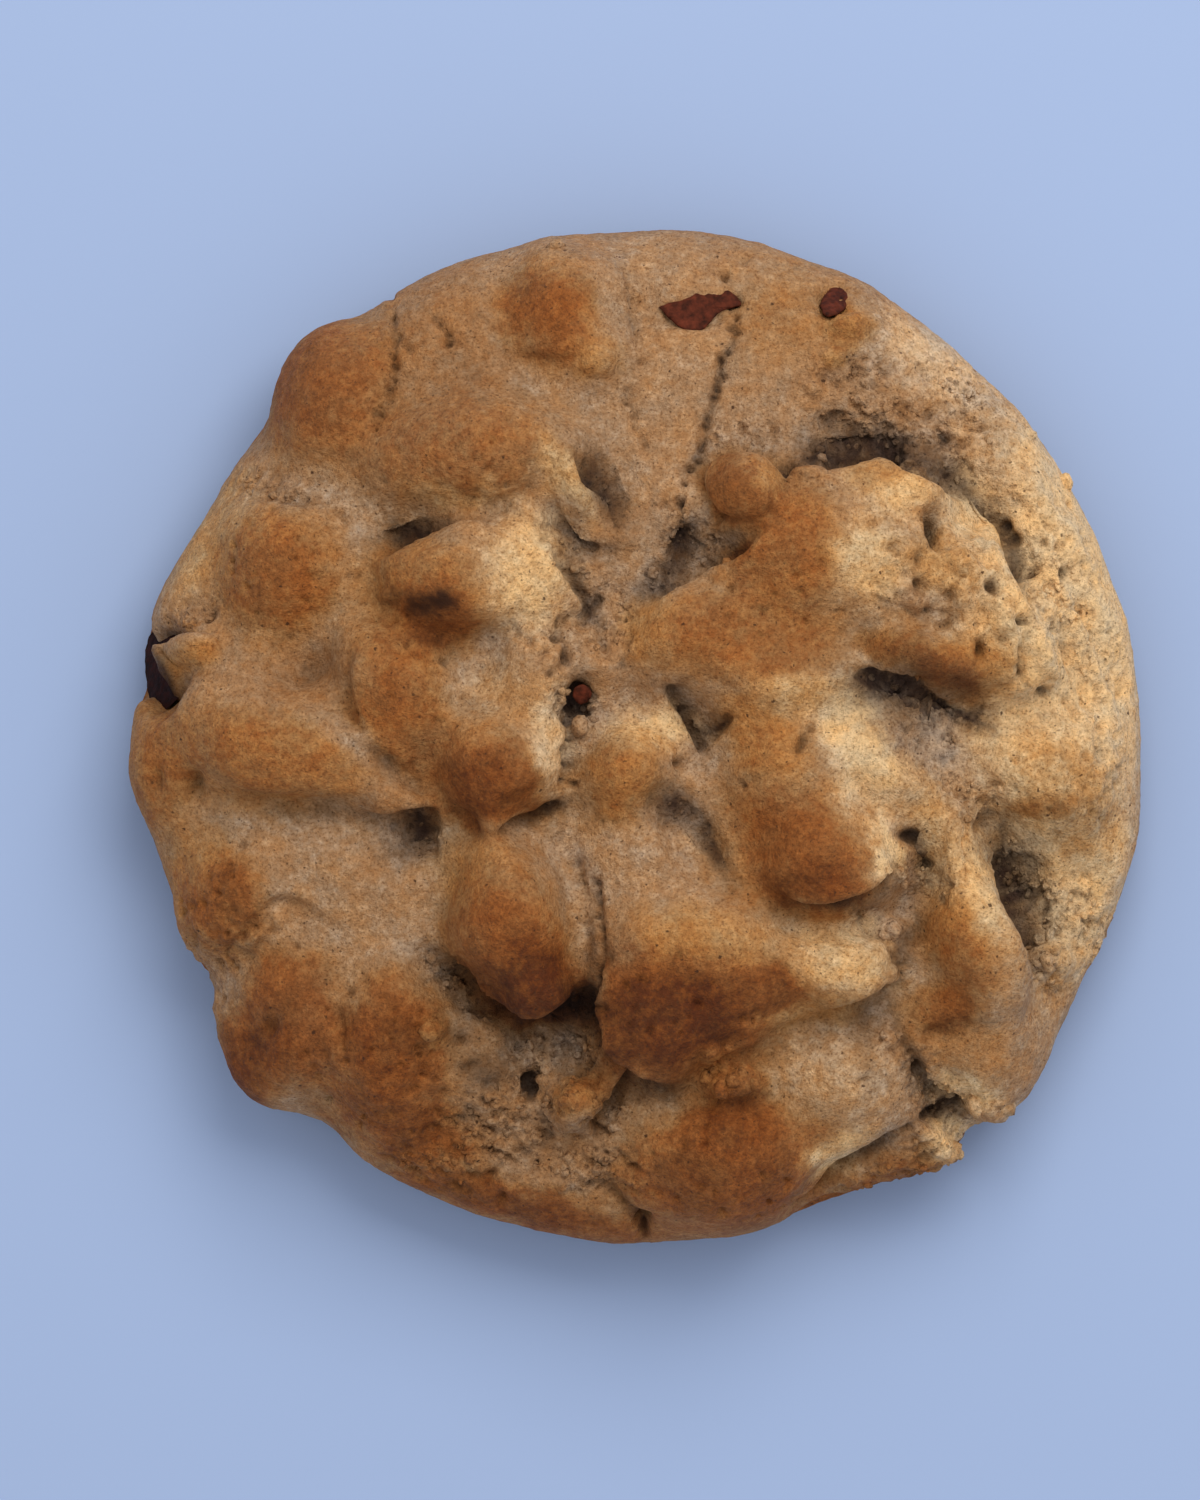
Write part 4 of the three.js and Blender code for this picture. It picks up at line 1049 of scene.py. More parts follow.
# %% Where the crust is less golden than on most patches: 0 dull, 1 golden
GOLDEN = {
    "upper left slope": 0.0, "left dip": 0.0, "roll's end": 0.0, "bottom crumb": 0.0,
    "right of the top lump": 0.0, "nose's right": 0.0, "valley by the cheek": 0.0, "far right": 0.4,
    "belly, upper": 0.0, "below the right nose": 0.0, "nose bridge": 0.0, "strip by the chin": 0.3,
    "cave floor": 0.0, "seam": 0.0, "left of the knob": 0.0, "upper ridge": 0.5, "top shoulder": 0.4,
    "lower left slab": 0.3, "lower left bud": 0.6, "left shoulder": 0.7, "plateau arm": 0.7,
    "plateau, low": 0.8, "cheek's right": 0.4, "lip's right underside, painted shade": 0.5, "under the knob": 0.0,
    "slope under the lip": 0.0, "ledge": 0.6, "belly's left": 0.0, "bottom right slab": 0.3,
    "lobe": 0.4, "chin's right": 0.6,
}
print(len(GOLDEN), "patches are less golden")

# %% Paint the patches, one over the other
SOFT_EDGE = (0.35, 1.4)
STRAY = 1.6
STRAY_SIZE = 4.5
straying = crust[:, :2] + drift_at(crust, STRAY_SIZE, (8, 9), 3) * STRAY
browning = np.full(len(crust), GROUND)
golden = np.zeros(len(crust))
for name, (pixel, half_length, half_width, turn, level) in PATCHES.items():
    distance = oval(pixel, half_length, half_width, turn, straying)
    weight = eased(np.clip((SOFT_EDGE[1] - distance) / (SOFT_EDGE[1] - SOFT_EDGE[0]), 0, 1))
    browning += (level - browning) * weight
    golden += (GOLDEN.get(name, 1.0) - golden) * weight
print("mean browning", browning.mean().round(2), "and gold", golden.mean().round(2))

# %% Paler valleys, uneven blotches, and a browner underside
VALLEY_DEPTH = 2.0
VALLEY_PALER = 0.12
BLOTCH_SIZE = 7.0
BLOTCH_SPREAD = 0.06
UNDERSIDE_TILT = 0.3
UNDERSIDE_BROWNING = 0.7
blotches = noise_at(crust, BLOTCH_SIZE, 7, 3)
in_valley = np.clip(-lump_height / VALLEY_DEPTH, 0, 1)
browning = np.clip(browning - VALLEY_PALER * in_valley + BLOTCH_SPREAD * blotches, 0, 1)
underneath = np.clip(-outward[:, 2] / UNDERSIDE_TILT, 0, 1)
browning += (UNDERSIDE_BROWNING - browning) * underneath
golden += (1.0 - golden) * underneath
print("mean browning with the underside", browning.mean().round(2))

# %% Painted shade in hollows, from the depth of what made them: where it starts, full depth, and the darkest
NEAR_ROUNDS = 60
WIDE_ROUNDS = 300
NEAR_DROP = 0.7
WIDE_DROP = 1.8
VALLEY_SHADE = 0.15
PITTED_SHADE = 0.4
FOLD_SHARE = 0.6
FOLD_SHADE = (0.4, 2.2, 0.85)
CRACK_SHADE = (0.25, 1.25, 0.8)


def shade_of(depth, start, full, darkest):
    """Painted shade in hollows: none at a starting depth, then by the share of a full depth, up to a darkest.
    """
    return np.clip((depth - start) / full, 0, darkest)


near_mean = smoothed(crust, NEAR_ROUNDS)
wide_mean = smoothed(near_mean, WIDE_ROUNDS)
below_near = shade_of(outward_part(near_mean - crust), 0, NEAR_DROP, 1)
below_wide = shade_of(outward_part(wide_mean - crust), 0, WIDE_DROP, 1)
hollow = over(shelter, shade_of(FOLD_SHARE * fold_depth + pore_depth, *FOLD_SHADE))
hollow = over(hollow, VALLEY_SHADE * (below_near + below_wide) / 2)
hollow = over(hollow, PITTED_SHADE * pitted)
hollow = over(hollow, shade_of(crack_depth, *CRACK_SHADE))
print("mean shade of the hollows", hollow.mean().round(2))

# %% A dark stain on one lump, where chocolate melted through: pixel, half length, half width, turn, strength
STAINS = [(438, 602, 2.3, 1.5, 12, 1.0), (420, 606, 1.8, 1.2, -20, 0.9), (392, 597, 1.6, 0.9, -8, 0.6),
          (432, 632, 2.6, 2.0, -20, 0.15)]
BLOT_SIZE = 1.0
BLOT_WANDER = 0.5
STAIN_RAGS = 1.1
STAIN_MEAN = 0.95
STAIN_SPREAD = 0.8


def blot(distance):
    """A fade with a flat middle and a quick edge, like a stain."""
    return np.exp(-(distance**4))


blotted = crust[:, :2] + BLOT_WANDER * drift_at(crust, BLOT_SIZE, (13, 14), 2)
stain = strongest(STAINS, blot, blotted)
stain *= np.clip(STAIN_MEAN + STAIN_SPREAD * noise_at(crust, STAIN_RAGS, 12, 2), 0, 1)
print("stained vertices:", (stain > 0.5).sum())

# %% [markdown]
# ## The dough as a mesh
# The net becomes one smooth mesh, in place of the solid of dough. What the material needs to know at
# each vertex goes with it as attributes: a painted image would need an unwrapped mesh and a file, and
# these need neither.

# %% The cookie
def add_piece(name, points, polygons, node=None, values=None):
    """A smooth mesh in millimetres, riding on the cookie, in place of a node of the model if it has one."""
    mesh = bpy.data.meshes.new(name)
    mesh.from_pydata((np.asarray(points) * MM).tolist(), [], np.asarray(polygons).tolist())
    mesh.shade_smooth()
    for attribute, numbers in (values or {}).items():
        data = mesh.attributes.new(attribute, "FLOAT", "POINT").data
        data.foreach_set("value", numbers.astype(np.float32))
    piece = bpy.data.objects.new(name, mesh)
    bpy.context.collection.objects.link(piece)
    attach(piece, "root")
    if node:
        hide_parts(node)
    return piece


# The painted shade of the hollows goes with the mesh as well, for the material to darken the crust.
looks = {"browning": browning, "golden": golden, "torn": torn, "hollow": hollow, "stain": stain}
cookie = add_piece("cookie_dough", crust, faces, "dough", looks)
print("cookie:", len(faces), "triangles")

# %% [markdown]
# ## Crumbs
# Torn crumb is a heap of small rags of dough. Relief alone can't overhang, so loose crumbs are set on
# the torn places: each is a ball with a dented surface, about half sunk, turned and stretched at
# random. They are as small as the smallest rags that show, and a seeded draw puts more of them where
# the crumb is torn most. A particle system scatters them as well, but as one mesh they can take their
# colour from the crust below.

# %% Where crumbs sit: by how torn the crumb is, and the large ones by pixel and radius in millimetres
BIG_CRUMBS = [
    (1003, 1112, 1.5), (997, 1104, 1.2), (974, 1108, 1.1), (962, 1156, 1.3), (954, 1146, 0.9),
    (1098, 958, 1.0), (1084, 972, 0.8), (1066, 482, 0.9), (1030, 434, 1.0), (556, 246, 0.8),
    (712, 1053, 0.9), (722, 1087, 1.0), (745, 1076, 1.1), (736, 1060, 0.8), (706, 1078, 0.8),
    (732, 1080, 0.9), (748, 1062, 0.8), (715, 1070, 0.8), (727, 1048, 0.7), (754, 1082, 0.8),
    (820, 458, 0.9), (806, 474, 0.9), (795, 480, 0.7), (893, 925, 1.1), (885, 932, 0.9),
    (581, 725, 1.0), (432, 1030, 1.2), (440, 1026, 0.8), (1046, 962, 1.0), (1056, 950, 0.9),
]
CRUMBS = 1300
CRUMB_RADIUS = (0.22, 0.62)
MOSTLY_SMALL = 2.5
CRUMB_TILT = 0.2
TORN_ENOUGH = 0.3
CROWDING = 1.5
on_top = outward[:, 2] > CRUMB_TILT
chance = np.where(on_top, np.clip(torn - TORN_ENOUGH, 0, None) ** CROWDING, 0)
hosts = draw.choice(len(crust), CRUMBS, replace=False, p=chance / chance.sum())
sizes = CRUMB_RADIUS[0] + (CRUMB_RADIUS[1] - CRUMB_RADIUS[0]) * draw.random(CRUMBS) ** MOSTLY_SMALL
for u, v, radius in BIG_CRUMBS:
    gap = np.where(on_top, np.linalg.norm(crust[:, :2] - plan((u, v)), axis=1), np.inf)
    hosts = np.append(hosts, gap.argmin())
    sizes = np.append(sizes, radius)
print(CRUMBS, "small crumbs and", len(BIG_CRUMBS), "large ones")

# %% A dented ball for each crumb
DENT = 0.6
DENT_SIZE = 0.9
DENT_SEED = 60
DENT_SEEDS = 40
STRETCH = (0.65, 1.25)
SUNK = (-0.75, -0.05)
ball = bmesh.new()
bmesh.ops.create_icosphere(ball, subdivisions=2, radius=1.0)
ball_points = np.array([tuple(vertex.co) for vertex in ball.verts])
ball_faces = np.array([[vertex.index for vertex in face.verts] for face in ball.faces])
ball.free()
crumb_points, crumb_faces = [], []
for k, (host, radius) in enumerate(zip(hosts, sizes)):
    turn = Matrix.Rotation(draw.uniform(0, 2 * math.pi), 3, Vector(draw.normal(size=3)))
    dents = noise_at(ball_points, DENT_SIZE, DENT_SEED + k % DENT_SEEDS)
    stretched = ball_points * (1 + DENT * dents[:, None]) * draw.uniform(*STRETCH, 3)
    middle = crust[host] + outward[host] * radius * draw.uniform(*SUNK)
    crumb_faces.append(ball_faces + len(ball_points) * k)
    crumb_points.append(middle + radius * stretched @ np.array(turn))
print(len(ball_faces), "triangles in a crumb")

# %% The crumbs as one piece, coloured like the crust that they sit on, with its painted shade, less of it on the large ones
SMALL_CRUMB_SHADE = 0.85
BIG_CRUMB_SHADE = 0.35
of_host = np.repeat(hosts, len(ball_points))
is_small = np.arange(len(of_host)) < CRUMBS * len(ball_points)
crumb_looks = {name: values[of_host] for name, values in looks.items()}
crumb_looks["hollow"] *= np.where(is_small, SMALL_CRUMB_SHADE, BIG_CRUMB_SHADE)
crumbs = add_piece("torn_crumb", np.vstack(crumb_points), np.vstack(crumb_faces), values=crumb_looks)
print("crumbs:", len(hosts), "with", len(hosts) * len(ball_faces), "triangles")

# %% [markdown]
# ## Helpers for materials
# A material is a tree of nodes. Dragging nodes about in the editor is quick to try things, but is hard
# to read back. One small function adds a node, with its settings and links, so that each call below is
# one node.

# %% Colours, nodes and sizes
COLOUR = {"data_type": "RGBA"}
MULTIPLY = {"data_type": "RGBA", "blend_type": "MULTIPLY"}
# Sockets of a mix node, for colours and for places, and of a map range node. Their names aren't unique.
FACTOR, FIRST, SECOND, MIXED = 0, 6, 7, 2
FIRST_PLACE, SECOND_PLACE, MIXED_PLACE = 4, 5, 1
FROM_LOW, FROM_HIGH, TO_LOW, TO_HIGH = 1, 2, 3, 4


def linear(hex_colour):
    """A colour written as sRGB hex, as the linear RGBA that shaders work in."""
    channels = [int(hex_colour[i:i + 2], 16) / 255 for i in (1, 3, 5)]
    return [c / 12.92 if c <= 0.04045 else ((c + 0.055) / 1.055) ** 2.4 for c in channels] + [1.0]


def add(tree, kind, inputs, stops=(), **settings):
    """Adds a node with its settings, and the stops of its colour ramp if it has one.

    Each input is a value, or the output of another node, which is linked. A new ramp has two stops.
    """
    node = tree.nodes.new(kind)
    for name, value in settings.items():
        setattr(node, name, value)
    for name, value in inputs.items():
        if isinstance(value, bpy.types.NodeSocket):
            tree.links.new(value, node.inputs[name])
        else:
            node.inputs[name].default_value = value
    for _ in stops[2:]:
        node.color_ramp.elements.new(0.5)
    for k, (position, colour) in enumerate(stops):
        node.color_ramp.elements[k].position = position
        node.color_ramp.elements[k].color = linear(colour)
    return node


def new_material(name):
    """An empty material, to be built from nodes."""
    material = bpy.data.materials.new(name)
    material.use_nodes = True
    material.node_tree.nodes.clear()
    return material


def per(size_mm):
    """Texture scale that makes a pattern's features as large as a size in millimetres."""
    return 1 / (size_mm * MM)


print("cream in linear light:", [round(channel, 2) for channel in linear("#f6d5a5")])

# %% [markdown]
# ## Baked dough
# Wheat dough, browned in an oven: cream where it stayed damp or tore late, golden to dark brown where
# it dried first, and dull, because dry flour and burst bubbles scatter the light. A photograph wrapped
# over the mesh would be quick, but bakes its light in, so noise and cells make it up here, led by what
# the vertices know. Flour grain and ground spice are about a tenth of a millimetre across, too fine to
# show, so grain, flecks and specks are drawn two to four times coarser than they are.

# %% Crust colour, from cream to dark brown, in uneven patches of about a millimetre
PATCH_SIZE = 1.2
PATCH_SPREAD = 0.75
BROWNS = [(0.0, "#f6d5a5"), (0.25, "#cb9f6b"), (0.45, "#b6834d"), (0.65, "#9c6231"), (0.85, "#7c461b"),
          (1.0, "#5a2c0e")]
crust_material = new_material("baked_dough")
tree = crust_material.node_tree
where = add(tree, "ShaderNodeTexCoord", {}).outputs["Object"]
read = {name: add(tree, "ShaderNodeAttribute", {}, attribute_name=name).outputs["Fac"] for name in looks}
patches = add(tree, "ShaderNodeTexNoise", {
    "Vector": where, "Scale": per(PATCH_SIZE), "Detail": 4.0, "Roughness": 0.75})
uneven = add(tree, "ShaderNodeMath", {
    0: patches.outputs["Fac"], 1: PATCH_SPREAD, 2: read["browning"]}, operation="MULTIPLY_ADD")
shade = add(tree, "ShaderNodeMath", {0: uneven.outputs[0], 1: PATCH_SPREAD / 2}, operation="SUBTRACT")
brown = add(tree, "ShaderNodeValToRGB", {"Fac": shade.outputs[0]}, BROWNS)
print(len(BROWNS), "browns, from", BROWNS[0][1], "to", BROWNS[-1][1])

# %% Cooler where it is dull or torn, and a little warmer and cooler by turns everywhere
DULL_SHARE = 0.95
TORN_SHARE = 0.2
WARMTH_SIZE = 3.5
WARMTH_STOPS = [(0.35, "#fff4e2"), (0.65, "#f0f6ff")]
dull = add(tree, "ShaderNodeMapRange", {
    "Value": read["golden"], FROM_LOW: 0.0, FROM_HIGH: 1.0, TO_LOW: DULL_SHARE, TO_HIGH: 0.0})
bare = add(tree, "ShaderNodeMath", {
    0: read["torn"], 1: TORN_SHARE, 2: dull.outputs[0]}, operation="MULTIPLY_ADD", use_clamp=True)
cooled = add(tree, "ShaderNodeMix", {
    FACTOR: bare.outputs[0], FIRST: brown.outputs["Color"], SECOND: linear("#e0e4ff")}, **MULTIPLY)
warmth = add(tree, "ShaderNodeTexNoise", {"Vector": where, "Scale": per(WARMTH_SIZE), "Detail": 3.0})
tint = add(tree, "ShaderNodeValToRGB", {"Fac": warmth.outputs["Fac"]}, WARMTH_STOPS)
tinted = add(tree, "ShaderNodeMix", {
    FACTOR: 1.0, FIRST: cooled.outputs[MIXED], SECOND: tint.outputs["Color"]}, **MULTIPLY)
print("warm and cool by turns, each about", WARMTH_SIZE, "mm across")

# %% Flour grain and dark flecks, drawn coarser than real ones
GRAIN_SIZE = 0.45
FLECK_SIZE = 0.3
grain = add(tree, "ShaderNodeTexNoise", {
    "Vector": where, "Scale": per(GRAIN_SIZE), "Detail": 3.0, "Roughness": 0.75})
grain_shade = add(tree, "ShaderNodeMapRange", {
    "Value": grain.outputs["Fac"], FROM_LOW: 0.25, FROM_HIGH: 0.75, TO_LOW: 0.45, TO_HIGH: 1.55})
grainy = add(tree, "ShaderNodeMix", {
    FACTOR: 0.6, FIRST: tinted.outputs[MIXED], SECOND: grain_shade.outputs[0]}, **MULTIPLY)
flecks = add(tree, "ShaderNodeTexNoise", {
    "Vector": where, "Scale": per(FLECK_SIZE), "Detail": 2.0, "Roughness": 0.6})
fleck = add(tree, "ShaderNodeMapRange", {
    "Value": flecks.outputs["Fac"], FROM_LOW: 0.57, FROM_HIGH: 0.66, TO_LOW: 0.0, TO_HIGH: 0.42})
flecked = add(tree, "ShaderNodeMix", {
    FACTOR: fleck.outputs[0], FIRST: grainy.outputs[MIXED], SECOND: linear("#5a3a22")}, **COLOUR)
print("grain of", GRAIN_SIZE, "mm and flecks of", FLECK_SIZE, "mm")

# %% Ground spice: a speck in the middle of some cells, larger in a few: cell size, largest speck, strength
SPICE = [(0.8, 0.26, 0.7), (1.4, 0.2, 0.85)]
FEW_LARGE = 1.7
SPECK_EDGE = 0.06
BEND_SIZE = 0.35
BEND = 0.4
bend = add(tree, "ShaderNodeTexNoise", {"Vector": where, "Scale": per(BEND_SIZE), "Detail": 1.0})
bent = add(tree, "ShaderNodeMix", {
    FACTOR: BEND * MM, FIRST_PLACE: where, SECOND_PLACE: bend.outputs["Color"]}, data_type="VECTOR")
bent_where = bent.outputs[MIXED_PLACE]
colour = flecked.outputs[MIXED]
for cell_size, largest, strength in SPICE:
    cells = add(tree, "ShaderNodeTexVoronoi", {"Vector": bent_where, "Scale": per(cell_size)})
    odds = add(tree, "ShaderNodeMath", {0: cells.outputs["Color"], 1: FEW_LARGE}, operation="POWER")
    reach = add(tree, "ShaderNodeMath", {0: odds.outputs[0], 1: largest}, operation="MULTIPLY")
    inside = add(tree, "ShaderNodeMath", {
        0: reach.outputs[0], 1: cells.outputs["Distance"]}, operation="SUBTRACT")
    speck = add(tree, "ShaderNodeMapRange", {
        "Value": inside.outputs[0], FROM_LOW: 0.0, FROM_HIGH: SPECK_EDGE, TO_LOW: 0.0, TO_HIGH: strength})
    spiced = add(tree, "ShaderNodeMix", {
        FACTOR: speck.outputs[0], FIRST: colour, SECOND: linear("#3f2413")}, **COLOUR)
    colour = spiced.outputs[MIXED]
print(len(SPICE), "sizes of spice")

# %% Pores with painted shade, more of them where the crumb is torn, then the painted shade of hollows and the stain
PORE_SIZE = 0.95
pores = add(tree, "ShaderNodeTexVoronoi", {"Vector": bent_where, "Scale": per(PORE_SIZE)})
pore_hole = add(tree, "ShaderNodeMapRange", {
    "Value": pores.outputs["Distance"], FROM_LOW: 0.1, FROM_HIGH: 0.4, TO_LOW: 1.0, TO_HIGH: 0.0})
pore_share = add(tree, "ShaderNodeMapRange", {
    "Value": read["torn"], FROM_LOW: 0.0, FROM_HIGH: 0.8, TO_LOW: 0.05, TO_HIGH: 0.6})
pore = add(tree, "ShaderNodeMath", {0: pore_hole.outputs[0], 1: pore_share.outputs[0]}, operation="MULTIPLY")
pore_shaded = add(tree, "ShaderNodeMix", {
    FACTOR: pore.outputs[0], FIRST: colour, SECOND: linear("#6b4a33")}, **COLOUR)
# Painted shade: the colour is multiplied by a dark mauve where the hollows are.
shaded = add(tree, "ShaderNodeMix", {
    FACTOR: read["hollow"], FIRST: pore_shaded.outputs[MIXED], SECOND: linear("#40343a")}, **MULTIPLY)
stained = add(tree, "ShaderNodeMix", {
    FACTOR: read["stain"], FIRST: shaded.outputs[MIXED], SECOND: linear("#3a1e0c")}, **COLOUR)
print("pores about", PORE_SIZE, "mm apart")

# %% A dull, grainy surface
PORE_SINK = -0.9
BUMP_HEIGHT = 0.4
height = add(tree, "ShaderNodeMath", {
    0: pore.outputs[0], 1: PORE_SINK, 2: grain.outputs["Fac"]}, operation="MULTIPLY_ADD")
bump = add(tree, "ShaderNodeBump", {
    "Height": height.outputs[0], "Strength": 1.0, "Distance": BUMP_HEIGHT * MM})
surface = add(tree, "ShaderNodeBsdfPrincipled", {
    "Base Color": stained.outputs[MIXED], "Roughness": 0.75, "IOR": 1.45, "Specular IOR Level": 0.3,
    "Normal": bump.outputs["Normal"]})
add(tree, "ShaderNodeOutputMaterial", {"Surface": surface.outputs["BSDF"]})
for piece in (cookie, crumbs):
    piece.data.materials.append(crust_material)
print(crust_material.name, "has", len(tree.nodes), "nodes")

# %% [markdown]
# ## Milk chocolate
# Chocolate that melted in the oven and set again is dull and blotched: cocoa butter comes to the
# surface as a paler bloom, and the gloss of the bar is gone. A plain brown would look like plastic, so
# noise mixes bloom and dark chocolate, and a fine bump breaks the light. A piece down in a hole gets
# less light, and is dimmed.

# %% Chocolate
BLOOM_SIZE = 0.9
BLOOM_STOPS = [(0.3, "#2a120a"), (0.72, "#6a3120")]
ROUGH_SIZE = 0.4
ROUGH_HEIGHT = 0.2
chocolate_material = new_material("milk_chocolate")
tree = chocolate_material.node_tree
where = add(tree, "ShaderNodeTexCoord", {}).outputs["Object"]
sheltered = add(tree, "ShaderNodeAttribute", {}, attribute_name="hollow").outputs["Fac"]
bloom = add(tree, "ShaderNodeTexNoise", {
    "Vector": where, "Scale": per(BLOOM_SIZE), "Detail": 4.0, "Roughness": 0.6})
bloomed = add(tree, "ShaderNodeValToRGB", {"Fac": bloom.outputs["Fac"]}, BLOOM_STOPS)
dim = add(tree, "ShaderNodeMix", {
    FACTOR: sheltered, FIRST: bloomed.outputs["Color"], SECOND: linear("#6a5a66")}, **MULTIPLY)
rough = add(tree, "ShaderNodeTexNoise", {"Vector": where, "Scale": per(ROUGH_SIZE), "Detail": 3.0})
rough_bump = add(tree, "ShaderNodeBump", {
    "Height": rough.outputs["Fac"], "Strength": 0.6, "Distance": ROUGH_HEIGHT * MM})
surface = add(tree, "ShaderNodeBsdfPrincipled", {
    "Base Color": dim.outputs[MIXED], "Roughness": 0.75, "IOR": 1.46, "Specular IOR Level": 0.15,
    "Normal": rough_bump.outputs["Normal"]})
add(tree, "ShaderNodeOutputMaterial", {"Surface": surface.outputs["BSDF"]})
print(chocolate_material.name, "has", len(tree.nodes), "nodes")

# %% [markdown]
# ## Pieces of chocolate
# A chopped flake, a round chip and a chunk are baked into the crust, with a few splinters. Each is
# drawn by its ragged outline in the photograph. Extruding that outline would leave a flat top with a
# hard edge, so rings of the outline go down into the dough and up over a low crown, tilted with the
# crust round the piece.

# %% How the crust lies round a place
RING_WIDTH = 2.0


def crust_plane(centre, radius):
    """The plane through the crust round a place: height there, slope along X, slope along Y, in mm."""
    gap = np.linalg.norm(crust[:, :2] - centre, axis=1)
    ring = (gap < radius + RING_WIDTH) & (gap > radius) & faces_up
    offsets = crust[ring, :2] - centre
    table = np.column_stack([np.ones(ring.sum()), offsets])
    return np.linalg.lstsq(table, crust[ring, 2], rcond=None)[0]


print("height of the crust in the middle:", crust_plane(np.zeros(2), RING_WIDTH)[0].round(1), "mm")

# %% A piece, from rings of its outline: how wide each is, and how far down its depth or up its crown
SIDE_RINGS = [(0.75, 1.0), (1.0, 0.6)]
TOP_RINGS = [(1.0, 0.0), (0.95, 0.5), (0.85, 0.75), (0.65, 0.9), (0.4, 0.98)]
RING_START = 0.9
CHIPPED = 0.12
CHIPPED_SIZE = 0.8


def chocolate_piece(outline, lift, crown, depth, seed):
    """A piece sunk in the crust: rings of its outline, from underneath, up its side and over its top."""
    centre = plan(outline).mean(axis=0)
    rim = curve_through(list(outline) + [outline[0]])[:-1] - centre
    plane = crust_plane(centre, np.linalg.norm(rim, axis=1).mean() * RING_START)
    rings = [(share, -drop * depth) for share, drop in SIDE_RINGS]
    rings += [(share, lift + crown * rise) for share, rise in TOP_RINGS]
    places = [[[*centre, plane[0] - depth]]]
    for share, height in rings:
        ring = rim * share
        places.append(np.column_stack([ring + centre, plane[0] + ring @ plane[1:] + height]))
    places.append([[*centre, plane[0] + lift + crown]])
    ends = np.cumsum([0] + [len(ring) for ring in places])
    points = np.vstack(places)
    points += CHIPPED * drift_at(points, CHIPPED_SIZE, range(seed, seed + 3), 2)
    return points, skin([list(range(start, end)) for start, end in zip(ends, ends[1:])])


def add_chocolate(name, pieces, node=None, hollow=0.0):
    """One object of one or more pieces of chocolate, in place of a node of the model if it has one."""
    starts = np.cumsum([0] + [len(points) for points, _ in pieces])
    points = np.vstack([points for points, _ in pieces])
    triangles = np.vstack([triangles + start for (_, triangles), start in zip(pieces, starts)])
    piece = add_piece(name, points, triangles, node, {"hollow": np.full(len(points), hollow)})
    piece.data.materials.append(chocolate_material)
    print(name, "has", len(triangles), "triangles")


# %% Flake, chip and chunk: outline in pixels, then lift, crown and depth in millimetres
SHARD = [(659, 308), (672, 303), (684, 301), (696, 294), (708, 290), (722, 290), (735, 296), (741, 306),
         (730, 309), (720, 313), (712, 321), (703, 330), (688, 332), (674, 324)]
CHIP = [(819, 306), (824, 296), (832, 288), (843, 288), (850, 296), (847, 306), (838, 315), (825, 317)]
CHUNK = [(144, 650), (152, 632), (166, 628), (178, 640), (186, 664), (190, 682), (178, 698), (160, 714),
         (151, 704), (146, 682)]
IN_A_HOLE = 0.9
add_chocolate("shard", [chocolate_piece(SHARD, 0.0, 0.25, 1.6, 21)], "chocolate_shard")
add_chocolate("chip", [chocolate_piece(CHIP, 0.0, 0.8, 2.0, 31)], "chocolate_chip")
add_chocolate("chunk", [chocolate_piece(CHUNK, -1.3, 0.3, 2.0, 41)], "chocolate_chunk", IN_A_HOLE)

# %% Splinters, each too small to be a piece of the model: outlines in pixels
FLECKS = [
    [(602, 266), (608, 260), (618, 256), (628, 253), (624, 258), (613, 263)],
    [(380, 1132), (387, 1132), (394, 1138), (391, 1141), (384, 1138)],
    [(573, 696), (575, 688), (583, 685), (591, 691), (590, 700), (580, 704)],
]
splinters = [chocolate_piece(outline, 0.0, 0.2, 0.6, 51 + k) for k, outline in enumerate(FLECKS)]
add_chocolate("chocolate_flecks", splinters)

# %% [markdown]
# ## Floor
# The cookie lies on a board painted pale blue with a matt paint, so it shows a soft shadow and no
# reflection. One square is enough, as it reaches past what the camera sees.

# %% Floor
FLOOR_REACH = 2.0
FLOOR_CORNERS = [(-1, -1), (1, -1), (1, 1), (-1, 1)]
floor_mesh = bpy.data.meshes.new("floor")
floor_mesh.from_pydata([(x * FLOOR_REACH, y * FLOOR_REACH, 0) for x, y in FLOOR_CORNERS], [], [(0, 1, 2, 3)])
floor = bpy.data.objects.new("floor", floor_mesh)
bpy.context.collection.objects.link(floor)
floor_material = new_material("painted_board")
tree = floor_material.node_tree
painted = add(tree, "ShaderNodeBsdfPrincipled", {"Base Color": linear("#a3bded"), "Roughness": 0.9})
add(tree, "ShaderNodeOutputMaterial", {"Surface": painted.outputs["BSDF"]})
floor_mesh.materials.append(floor_material)
print("floor:", 2 * FLOOR_REACH, "m wide")

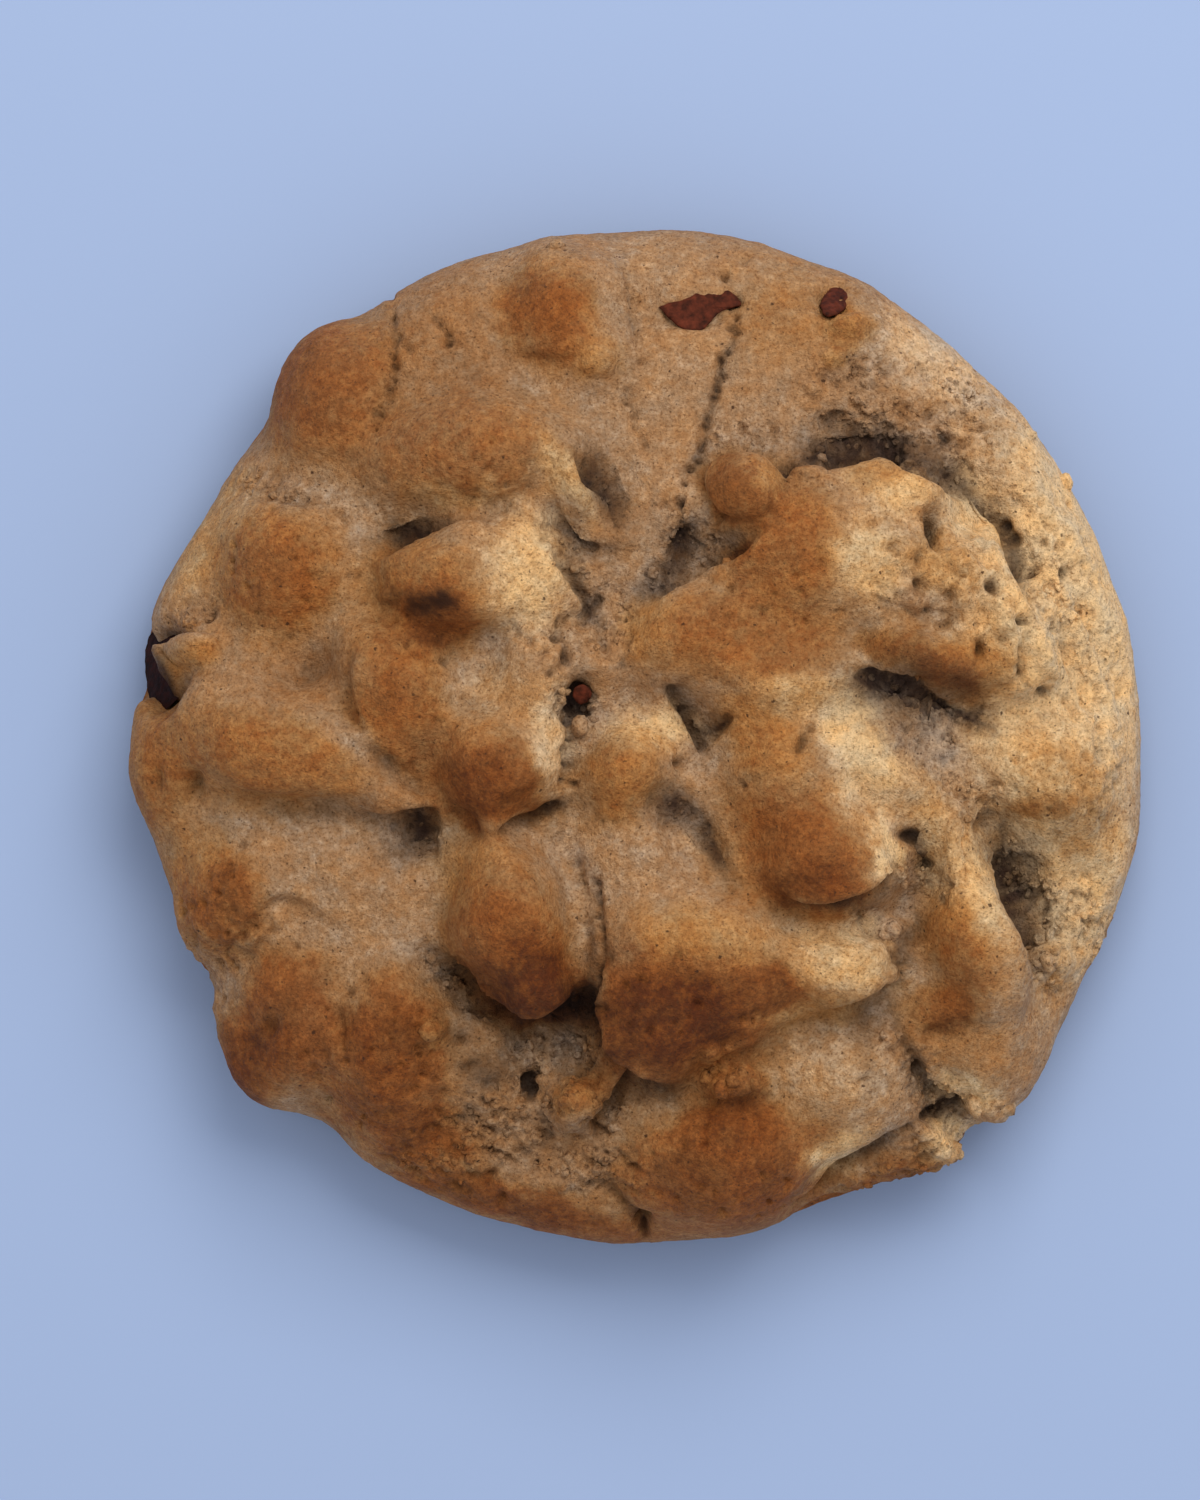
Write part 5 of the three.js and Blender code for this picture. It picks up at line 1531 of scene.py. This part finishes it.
# %% [markdown]
# ## Lights
# The light is a bright room with one large window: an even world from all sides, so that no shade goes
# black, and one softbox from the upper right, which gives each lump a light side. A sun lamp would be
# too hard for it.

# %% Lights
ROOM_STRENGTH = 0.63
KEY_PLACE = (0.2, 0.46, 0.7)
KEY_SIZE = 0.6
KEY_POWER = 4.6
scene = bpy.context.scene
scene.view_settings.view_transform = "Standard"
world = bpy.data.worlds.new("soft_room")
scene.world = world
world.use_nodes = True
sky = world.node_tree.nodes["Background"]
sky.inputs["Color"].default_value = linear("#fbf7f2")
sky.inputs["Strength"].default_value = ROOM_STRENGTH
key_light = bpy.data.lights.new("key_softbox", "AREA")
key_light.size = KEY_SIZE
key_light.energy = KEY_POWER
key_light.color = linear("#fff3e2")[:3]
key = bpy.data.objects.new("key_softbox", key_light)
key.location = KEY_PLACE
key.rotation_euler = (-Vector(KEY_PLACE)).to_track_quat("-Z", "Y").to_euler()
scene.collection.objects.link(key)
print("softbox", round(Vector(KEY_PLACE).length, 2), "m from the cookie")

# %% [markdown]
# ## Camera
# The photograph looks straight at the cookie's face, so the camera looks straight down. From 3 m with a
# long lens the near lumps are hardly larger than the far ones, and a pixel keeps its place in plan. The
# lens is worked out so that, 12 mm above the floor, the picture is as tall in millimetres as the
# photograph.

# %% Camera: heights in metres, sensor and lens in millimetres
CAMERA_HEIGHT = 3.0
FOCUS_HEIGHT = 0.012
SENSOR_HEIGHT = 36.0
camera_data = bpy.data.cameras.new("camera")
camera_data.sensor_fit = "VERTICAL"
camera_data.sensor_height = SENSOR_HEIGHT
camera_data.lens = SENSOR_HEIGHT * (CAMERA_HEIGHT - FOCUS_HEIGHT) / (PHOTO_SIZE[1] * MM_PER_PIXEL * MM)
camera = bpy.data.objects.new("camera", camera_data)
middle = plan((PHOTO_SIZE[0] / 2, PHOTO_SIZE[1] / 2)) * MM
camera.location = (middle[0], middle[1], CAMERA_HEIGHT)
scene.collection.objects.link(camera)
scene.camera = camera
print("lens:", round(camera_data.lens), "mm")
